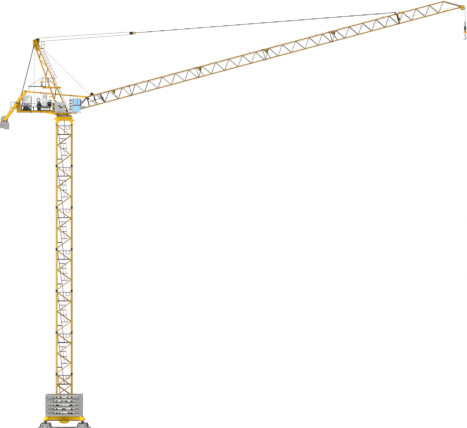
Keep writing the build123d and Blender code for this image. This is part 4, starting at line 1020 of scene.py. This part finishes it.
class CRANE_OT_cab_fittings(bpy.types.Operator):
    """Panes, window seals, vents, roof rail, lamps and mounts of the driver's cab"""

    bl_idname = "crane.cab_fittings"
    bl_label = "Cab Fittings"

    def execute(self, context):
        near, far = -1.140, -0.560
        middle, half = (near + far) / 2, (far - near) / 2 - 0.055

        def cab_strip(start, end, y, thick, tall):
            # Each spot is an x and a height above the cab's floor
            low, high = (start[0], PLATFORM_TOP + start[1]), (end[0], PLATFORM_TOP + end[1])
            return strip(low, high, y, thick, tall)

        def pane(corners, y, thickness):
            # Thin slab whose corners are, in turn, rear low, front low, front high and rear high
            bpy.ops.mesh.primitive_cube_add(size=1)
            obj = bpy.context.object
            for vertex in obj.data.vertices:
                order = (0, 3) if vertex.co.x < 0 else (1, 2)
                x, rise = corners[order[vertex.co.z > 0]]
                vertex.co = at(x, y + vertex.co.y * thickness, PLATFORM_TOP + rise)
            return obj

        windows = [
            [(0.640, 0.040), (0.955, 0.040), (1.126, 0.440), (0.640, 0.440)],
            [(0.683, 0.512), (0.925, 0.512), (0.925, 0.914), (0.683, 0.914)],
            [(0.943, 0.512), (1.134, 0.512), (1.134, 0.908), (0.943, 0.914)],
        ]
        lower_pane = [(0.640, 0.040), (1.105, 0.040), (1.190, 0.440), (0.640, 0.440)]
        front = [(1.148, 0.180), (1.203, 0.345), (1.206, 0.870), (1.148, 0.870)]
        panes, screen = [], []
        for face, out in ((near, -1), (far, 1)):
            for window in windows:
                panes.append(pane(window, face - out * 0.012, 0.008))
            panes.append(pane(lower_pane, face + out * 0.003, 0.006))
            screen.append(pane(front, face - out * 0.012, 0.008))
        piece("side_panes", panes, "pale_cab_glass", "upper", 0.001)
        screen.append(cab_strip((1.172, 0.195), (1.2175, 0.338), middle, 2 * half, 0.008))
        screen.append(cab_strip((1.2175, 0.335), (1.2225, 0.865), middle, 2 * half, 0.008))
        windscreen = piece("windscreen", screen, "blue_windscreen_glass", "upper", 0.001)
        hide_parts("cab_glass")

        seals = []
        for y in (near - 0.003, far + 0.003):
            for window in [*windows, front]:
                for start, end in zip(window, window[1:] + window[:1]):
                    seals.append(cab_strip(start, end, y, 0.008, 0.009))
            seals.append(cab_strip((0.62, 0.476), (1.13, 0.476), y, 0.009, 0.034))
            for x in (0.934, 0.662):
                seals.append(cab_strip((x, 0.50), (x, 0.925), y, 0.018, 0.009))
        for side in SIDES:
            y = middle + side * (half + 0.004)
            seals.append(cab_strip((1.176, 0.195), (1.229, 0.34), y, 0.012, 0.012))
            seals.append(cab_strip((1.229, 0.34), (1.234, 0.868), y, 0.012, 0.012))
        piece("window_seals", seals, "black_enamel", "upper", 0.001)

        vents = []
        for y in (near - 0.004, far + 0.004):
            for rise in (0.825, 0.602, 0.407, 0.212):
                vents.append(cab_strip((0.425, rise), (0.540, rise), y, 0.012, 0.090))
            for x in (0.60, 0.37):
                vents.append(cab_strip((x, 0.06), (x, 0.90), y, 0.008, 0.008))
        piece("cab_vents", vents, "black_enamel", "upper", 0.001)

        roof = [cab_strip((0.38, 0.982), (1.14, 0.968), y, 0.018, 0.018) for y in (near + 0.02, far - 0.02)]
        z = PLATFORM_TOP + 0.979
        for x in (0.40, 0.76, 1.12):
            roof.append(bar(at(x, near + 0.02, z), at(x, far - 0.02, z), 0.018, 0.018))
        piece("cab_roof_rail", roof, "light_grey_enamel", "upper")

        lamps = []
        for y in (near + 0.09, far - 0.09):
            lens = at(1.13, y, PLATFORM_TOP - 0.035)
            lamps.append(dished(lens, Vector((1, 0, 0)), 0.038, 0.05, 0.008, 0.006, 20))
            lamps.append(cab_strip((1.11, -0.035), (1.11, 0.004), y, 0.016, 0.016))
        piece("cab_lamps", lamps, "black_enamel", "upper", 0.001)

        mounts = []
        for x in (0.45, 0.87):
            high, low = at(x, near + 0.05, PLATFORM_TOP - 0.03), at(x, near + 0.22, PLATFORM_TOP - 0.10)
            mounts.append(bar(high, low, 0.05, 0.03))
            mounts.append(cap((x + 0.09, PLATFORM_TOP - 0.07), near + 0.10, 0.028, 0.02, 0.004, 0.006, 16))
        piece("cab_mounts", mounts, "black_enamel", "upper", 0.001)
        return {"FINISHED"}


class CRANE_OT_jib_fittings(bpy.types.Operator):
    """Joint pins, foot gear and rope rollers along the jib"""

    bl_idname = "crane.jib_fittings"
    bl_label = "Jib Fittings"

    def execute(self, context):
        pins = []
        for u in JIB_JOINTS:
            for v in (0, JIB_DEPTH):
                for side in SIDES:
                    for shift in (-0.045, 0.045):
                        pins.append(jib_cap(u + shift, v, side * 0.447, 0.026, 0.012, 0.003, 0.007, 16))
                    pins.append(jib_strip((u - 0.1, v), (u + 0.1, v), side * 0.442, 0.004, 0.075))
        piece("jib_joint_pins", pins, "black_enamel", "jib", 0.001)

        gear = []
        for side in SIDES:
            outer, inner = side * 0.402, side * 0.385
            gear += [
                jib_cap(0, 0, side * 0.449, 0.055, 0.012, 0.004, 0.012),
                jib_cap(1.411, JIB_DEPTH, side * 0.455, 0.055, 0.012, 0.004, 0.012),
                jib_cap(*FOOT_SHEAVE, side * 0.422, 0.045, 0.012, 0.004, 0.01),
                jib_strip((1.30, 0.60), (1.52, 0.60), outer, 0.09, 0.05),
                jib_strip((1.62, 0.735), (1.98, 0.735), outer, 0.09, 0.03),
                jib_strip((0.62, 0.10), (1.1, 0.10), outer, 0.05, 0.04),
                jib_strip((2.08, 0.655), (2.50, 0.04), inner, 0.045, 0.045),
                jib_strip((2.22, 0.655), (2.50, 0.10), inner, 0.045, 0.045),
                jib_strip((2.38, 0.655), (2.52, 0.04), inner, 0.055, 0.055),
                jib_strip((1.90, 0.64), (1.86, 0.30), inner, 0.07, 0.05),
                jib_strip((1.86, 0.30), (2.06, 0.04), inner, 0.04, 0.04),
                jib_strip((1.50, 0.32), (2.55, 0.36), inner, 0.022, 0.022),
            ]
        gear.append(bar(jib_at(1.62, -0.3, 0.665), jib_at(1.62, 0.3, 0.665), 0.05, 0.05))
        gear.append(rod(jib_at(1.50, -0.2, 0.52), jib_at(1.50, 0.2, 0.52), 0.05, 16))
        piece("jib_foot_gear", gear, "black_enamel", "jib")

        rollers = [3.307] + [u + 0.26 for u in JIB_JOINTS[1:-1]]
        last = JIB_JOINTS[-1]
        edges = []
        for y in (-0.396, 0.396):
            for u in rollers:
                edges.append(jib_strip((u - 0.115, 0.65), (u - 0.03, 0.43), y, 0.012, 0.040))
                edges.append(jib_strip((u + 0.115, 0.65), (u + 0.03, 0.43), y, 0.012, 0.040))
                edges.append(jib_strip((u + 0.01, 0.43), (u + 0.16, 0.03), y, 0.012, 0.035))
            edges.append(jib_strip((last + 0.08, 0.62), (last + 0.09, 0.30), y, 0.012, 0.045))
            edges.append(jib_strip((last + 0.16, 0.40), (last + 0.14, 0.17), y, 0.012, 0.045))
        piece("roller_hanger_edges", edges, "black_enamel", "jib")

        cheeks = []
        for u, v in [*[(u, 0.55) for u in rollers], (last + 0.122, 0.283)]:
            for side in SIDES:
                cheeks.append(jib_cap(u, v, side * 0.046, 0.058, 0.010, 0.003, 0.010, 24))
                cheeks.append(jib_cap(u, v, side * 0.386, 0.026, 0.010, 0.003, 0.008, 12))
        piece("roller_cheeks", cheeks, "black_enamel", "jib", 0.001, True)

        rims = [jib_cap(*FOOT_SHEAVE, y, 0.118, 0.010, 0.003, 0.022, 40) for y in (-0.016, 0.016)]
        piece("foot_sheave_rims", rims, "cast_sheave_iron", "jib", 0.001, True)
        return {"FINISHED"}


class CRANE_OT_jib_tip_fittings(bpy.types.Operator):
    """Plates, pins, sheave rims and lamp at the jib's tip"""

    bl_idname = "crane.jib_tip_fittings"
    bl_label = "Jib Tip Fittings"

    def execute(self, context):
        plates, pins = [], []
        for side in SIDES:
            y = side * 0.400
            plates.append(jib_strip((24.02, 0.732), (24.32, 0.732), y, 0.08, 0.03))
            plates.append(jib_strip((26.95, 0.045), (27.25, 0.045), y, 0.08, 0.035))
            plates.append(cap(TIP_SHEAVE, side * 0.372, 0.125, 0.012, 0.004, 0.03))
            pins.append(cap(PENDANT_PIN, y, 0.045, 0.04, 0.005, 0.012))
            pins.append(jib_strip((23.87, 0.73), (24.02, 0.735), side * 0.42, 0.04, 0.04))
            pins.append(cap(TIP_SHEAVE, side * 0.384, 0.045, 0.014, 0.004, 0.01))
            pins.append(jib_strip((28.02, -0.10), (28.12, 0.10), side * 0.375, 0.012, 0.030))
        piece("jib_tip_plates", plates, "yellow_enamel", "jib")
        piece("jib_tip_pins", pins, "black_enamel", "jib", 0.001)

        rims = []
        for y in (-0.045, 0.045):
            for edge in (-0.0165, 0.0165):
                rims.append(cap(TIP_SHEAVE, y + edge, 0.168, 0.008, 0.0025, 0.026, 48))
            rims.append(cap(TIP_SHEAVE, y, 0.05, 0.06, 0.004, 0.014, 24))
        piece("tip_sheave_rims", rims, "cast_sheave_iron", "jib", 0.001, True)

        lamp = [
            rod(jib_at(28.15, 0.30, 0.06), jib_at(28.15, 0.30, 0.12), 0.012),
            dished(jib_at(28.15, 0.30, 0.14), UPWARD, 0.030, 0.045, 0.004, 0.008, 16),
        ]
        piece("tip_lamp", lamp, "red_lamp_lens", "jib", 0.001)
        return {"FINISHED"}


class CRANE_OT_running_ropes(bpy.types.Operator):
    """Luffing ropes and hoist rope span, each on its body, and the hook falls"""

    bl_idname = "crane.running_ropes"
    bl_label = "Running Ropes"

    def execute(self, context):
        head, wire = UPPER_HEAD_SHEAVE, "drawn_rope_wire"
        run = (LUFFING_BLOCK - head).normalized()
        square = Vector((-run.z, 0, run.x))
        ropes = []
        for y in (-0.12, -0.04, 0.04, 0.12):
            for edge in SIDES:
                start, stop = head + square * edge * 0.120, LUFFING_BLOCK + square * edge * 0.0895
                ropes.append(rod(beside(start, y), beside(stop, y), 0.0085))
        luffing = piece("luffing_rope_parts", ropes, wire, "luffing_ropes", 0, True)
        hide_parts("luffing_ropes")
        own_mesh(luffing)

        # The hoist rope crosses from the upper side of the head sheave to the lower side of the foot sheave
        start = LOWER_HEAD_SHEAVE
        stop = jib_at(FOOT_SHEAVE[0], 0, FOOT_SHEAVE[1]) - ACROSS * MIDDLE_Y
        head_radius, foot_radius = 0.1556, 0.1156
        gap = math.hypot(stop.x - start.x, start.z - stop.z)
        slope = math.atan2(start.z - stop.z, stop.x - start.x) + math.asin((head_radius + foot_radius) / gap)
        square = Vector((math.sin(slope), 0, math.cos(slope)))
        leave, meet = start + square * head_radius, stop - square * foot_radius
        span_rod = rod(beside(leave, 0), beside(meet, 0), 0.0085)
        span = piece("hoist_span_rope", [span_rod], wire, "hoist_rope_span", 0, True)
        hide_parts("hoist_rope_span")
        run = (meet - leave).normalized()
        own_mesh(span)

        low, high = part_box("hook_falls")
        middle = (low + high) / 2
        falls = []
        for y in (-0.045, 0.045):
            bpy.ops.mesh.primitive_cylinder_add(
                vertices=8, radius=0.009, depth=high.z - low.z, location=at(middle.x, y, middle.z))
            falls.append(bpy.context.object)
            bpy.ops.object.mode_set(mode="EDIT")
            bpy.ops.mesh.select_all(action="SELECT")
            bpy.ops.mesh.bisect(plane_co=middle, plane_no=(0, 0, 1))
            bpy.ops.object.mode_set(mode="OBJECT")
        falls = piece("hook_fall_ropes", falls, wire, None, 0, True)
        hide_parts("hook_falls")
        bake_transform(falls)
        return {"FINISHED"}


class CRANE_OT_counterweight_fittings(bpy.types.Operator):
    """Lever stiffeners, pin caps, hanger ribs and block seams"""

    bl_idname = "crane.counterweight_fittings"
    bl_label = "Counterweight Fittings"

    def execute(self, context):
        run = (LEVER_HEAD - WEIGHT_PIN).normalized()
        square = Vector((-run.z, 0, run.x))
        parts = []
        for side in SIDES:
            for spot, radius in ((WEIGHT_PIN, 0.06), (LEVER_HEAD, 0.05), (LEVER_PIVOT, 0.062)):
                parts.append(cap(spot, side * 0.646, radius, 0.014, 0.004, 0.014))
            for share in (0.30, 0.44, 0.72, 0.86):
                spot = WEIGHT_PIN.lerp(LEVER_HEAD, share)
                parts.append(strip(spot - square * 0.085, spot + square * 0.085, side * 0.643, 0.010, 0.012))
            for edge in (-0.088, 0.088):
                low = WEIGHT_PIN + run * 0.09 + square * edge
                high = LEVER_HEAD - run * 0.09 + square * edge
                parts.append(strip(low, high, side * 0.641, 0.006, 0.014))
        piece("lever_pins", parts, "black_enamel", "counterweight_lever", 0.001)

        x, z = WEIGHT_PIN.x, WEIGHT_PIN.z
        ribs = []
        for y in (-0.495, 0.495):
            for plane in (y - 0.019, y + 0.019):
                ribs.append(cap(WEIGHT_PIN, plane, 0.085, 0.012, 0.003, 0.016))
                for shift in (-0.19, 0.19):
                    ribs.append(post(x + shift, plane, z - 0.09, z + 0.20, 0.012, 0.012))
                    ribs.append(cap((x + shift, z - 0.07), plane, 0.024, 0.014, 0.003, 0.006, 12))
        piece("hanger_ribs", ribs, "black_enamel", "counterweight", 0.001)

        # Each seam across the block's side has its place, its drop to the block's foot and its width
        seams = []
        upright = (
            (-0.37, 0.49, 0.012),
            (-0.19, 0.49, 0.010),
            (0.0, 0.49, 0.010),
            (0.155, 0.575, 0.010),
            (0.30, 0.575, 0.012),
        )
        for y in (-0.6215, 0.6215):
            for shift, drop, thick in upright:
                seams.append(post(x + shift, y, z - 0.11, z - drop, 0.006, thick))
            seams.append(strip((x - 0.375, z - 0.30), (x + 0.305, z - 0.30), y, 0.006, 0.010))
        piece("block_seams", seams, "seam_grey_enamel", "counterweight", 0)
        return {"FINISHED"}


class CRANE_OT_rod_fittings(bpy.types.Operator):
    """Sleeves and bands on the coupling rods"""

    bl_idname = "crane.rod_fittings"
    bl_label = "Rod Fittings"

    def execute(self, context):
        run = (ROD_FRONT - LEVER_HEAD).normalized()
        sleeves, bands = [], []
        for y in (-0.525, 0.525):
            for low, high in ((0.24, 0.50), (3.75, 4.05)):
                sleeves.append(strip(LEVER_HEAD + run * low, LEVER_HEAD + run * high, y, 0.066, 0.116))
            for reach in (1.05, 2.10, 3.15):
                spot = LEVER_HEAD + run * reach
                bands.append(strip(spot, spot + run * 0.05, y, 0.070, 0.094))
        piece("rod_sleeves", sleeves, "yellow_enamel", "coupling_rods", 0.003)
        piece("rod_bands", bands, "black_enamel", "coupling_rods")
        return {"FINISHED"}


class CRANE_OT_pendant_fittings(bpy.types.Operator):
    """Links along the pendant bars, plates and sheave rims on the luffing block"""

    bl_idname = "crane.pendant_fittings"
    bl_label = "Pendant Fittings"

    def execute(self, context):
        length = (LUFFING_BLOCK - PENDANT_PIN).length
        run = (LUFFING_BLOCK - PENDANT_PIN) / length
        links = []
        for side in SIDES:
            for i in range(1, 20):
                reach = 0.40 + (length - 0.80) * i / 20
                share = (reach - 0.37) / (length - 0.77)
                y = side * (0.35 - 0.17 * share)
                spot = PENDANT_PIN + run * reach
                links.append(strip(spot - run * 0.17, spot + run * 0.17, y, 0.036, 0.050))
                if i % 5 == 0:
                    links.append(cap(spot, y, 0.036, 0.05, 0.004, 0.010, 16))
        piece("pendant_links", links, "black_enamel", "pendants", 0.003)

        start, stop = LUFFING_BLOCK - run * 0.16, LUFFING_BLOCK - run * 0.30
        plates = [strip(start, stop, y, 0.008, 0.100) for y in (-0.2185, 0.2185)]
        piece("block_plates", plates, "yellow_enamel", "pendants", 0.001)
        rims = [cap(LUFFING_BLOCK, y, 0.040, 0.010, 0.003, 0.010, 16) for y in (-0.222, 0.222)]
        for y in (-0.12, -0.04, 0.04, 0.12):
            for edge in (-0.0125, 0.0125):
                rims.append(cap(LUFFING_BLOCK, y + edge, 0.090, 0.006, 0.002, 0.016))
        piece("block_sheave_rims", rims, "cast_sheave_iron", "pendants", 0.001, True)
        return {"FINISHED"}


class CRANE_OT_hook_fittings(bpy.types.Operator):
    """Bolts on the hook block's cheeks"""

    bl_idname = "crane.hook_fittings"
    bl_label = "Hook Fittings"

    def execute(self, context):
        low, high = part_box("hook_block")
        middle = (low + high) / 2
        bolts = []
        for side in SIDES:
            y = middle.y + side * ((high.y - low.y) / 2 + 0.004)
            for share in (0.25, 0.6, 0.85):
                z = low.z + (high.z - low.z) * share
                bolts.append(dished(Vector((middle.x, y, z)), ACROSS, 0.024, 0.010, 0.003, 0.006, 12))
        piece("block_bolts", bolts, "zinc_plated_bolts", "hook_block", 0.001)
        return {"FINISHED"}


class CRANE_PT_panel(bpy.types.Panel):
    """Lists the crane's operators"""

    bl_label = "Luffing Crane"
    bl_idname = "CRANE_PT_panel"
    bl_space_type = "VIEW_3D"
    bl_region_type = "UI"
    bl_category = "Crane"

    def draw(self, context):
        for step in STEPS:
            self.layout.operator(step.bl_idname)


STEPS = (
    CRANE_OT_stage,
    CRANE_OT_finishes,
    CRANE_OT_mast_fittings,
    CRANE_OT_bogie_fittings,
    CRANE_OT_base_fittings,
    CRANE_OT_slewing_gear,
    CRANE_OT_tie_frame_fittings,
    CRANE_OT_winch_fittings,
    CRANE_OT_cabinet_fittings,
    CRANE_OT_deck_fittings,
    CRANE_OT_cab_fittings,
    CRANE_OT_jib_fittings,
    CRANE_OT_jib_tip_fittings,
    CRANE_OT_running_ropes,
    CRANE_OT_counterweight_fittings,
    CRANE_OT_rod_fittings,
    CRANE_OT_pendant_fittings,
    CRANE_OT_hook_fittings,
)
GROUPS = {"crane_stage": StageSettings, "crane_paint": PaintSettings}


def register():
    for group in GROUPS.values():
        bpy.utils.register_class(group)
    for step in STEPS:
        bpy.utils.register_class(step)
    bpy.utils.register_class(CRANE_PT_panel)
    for name, group in GROUPS.items():
        setattr(bpy.types.Scene, name, PointerProperty(type=group))


def unregister():
    for name in GROUPS:
        delattr(bpy.types.Scene, name)
    bpy.utils.unregister_class(CRANE_PT_panel)
    for step in reversed(STEPS):
        bpy.utils.unregister_class(step)
    for group in GROUPS.values():
        bpy.utils.unregister_class(group)


def main():
    register()
    for step in STEPS:
        package, name = step.bl_idname.split(".")
        getattr(getattr(bpy.ops, package), name)()


if __name__ == "__main__":
    main()
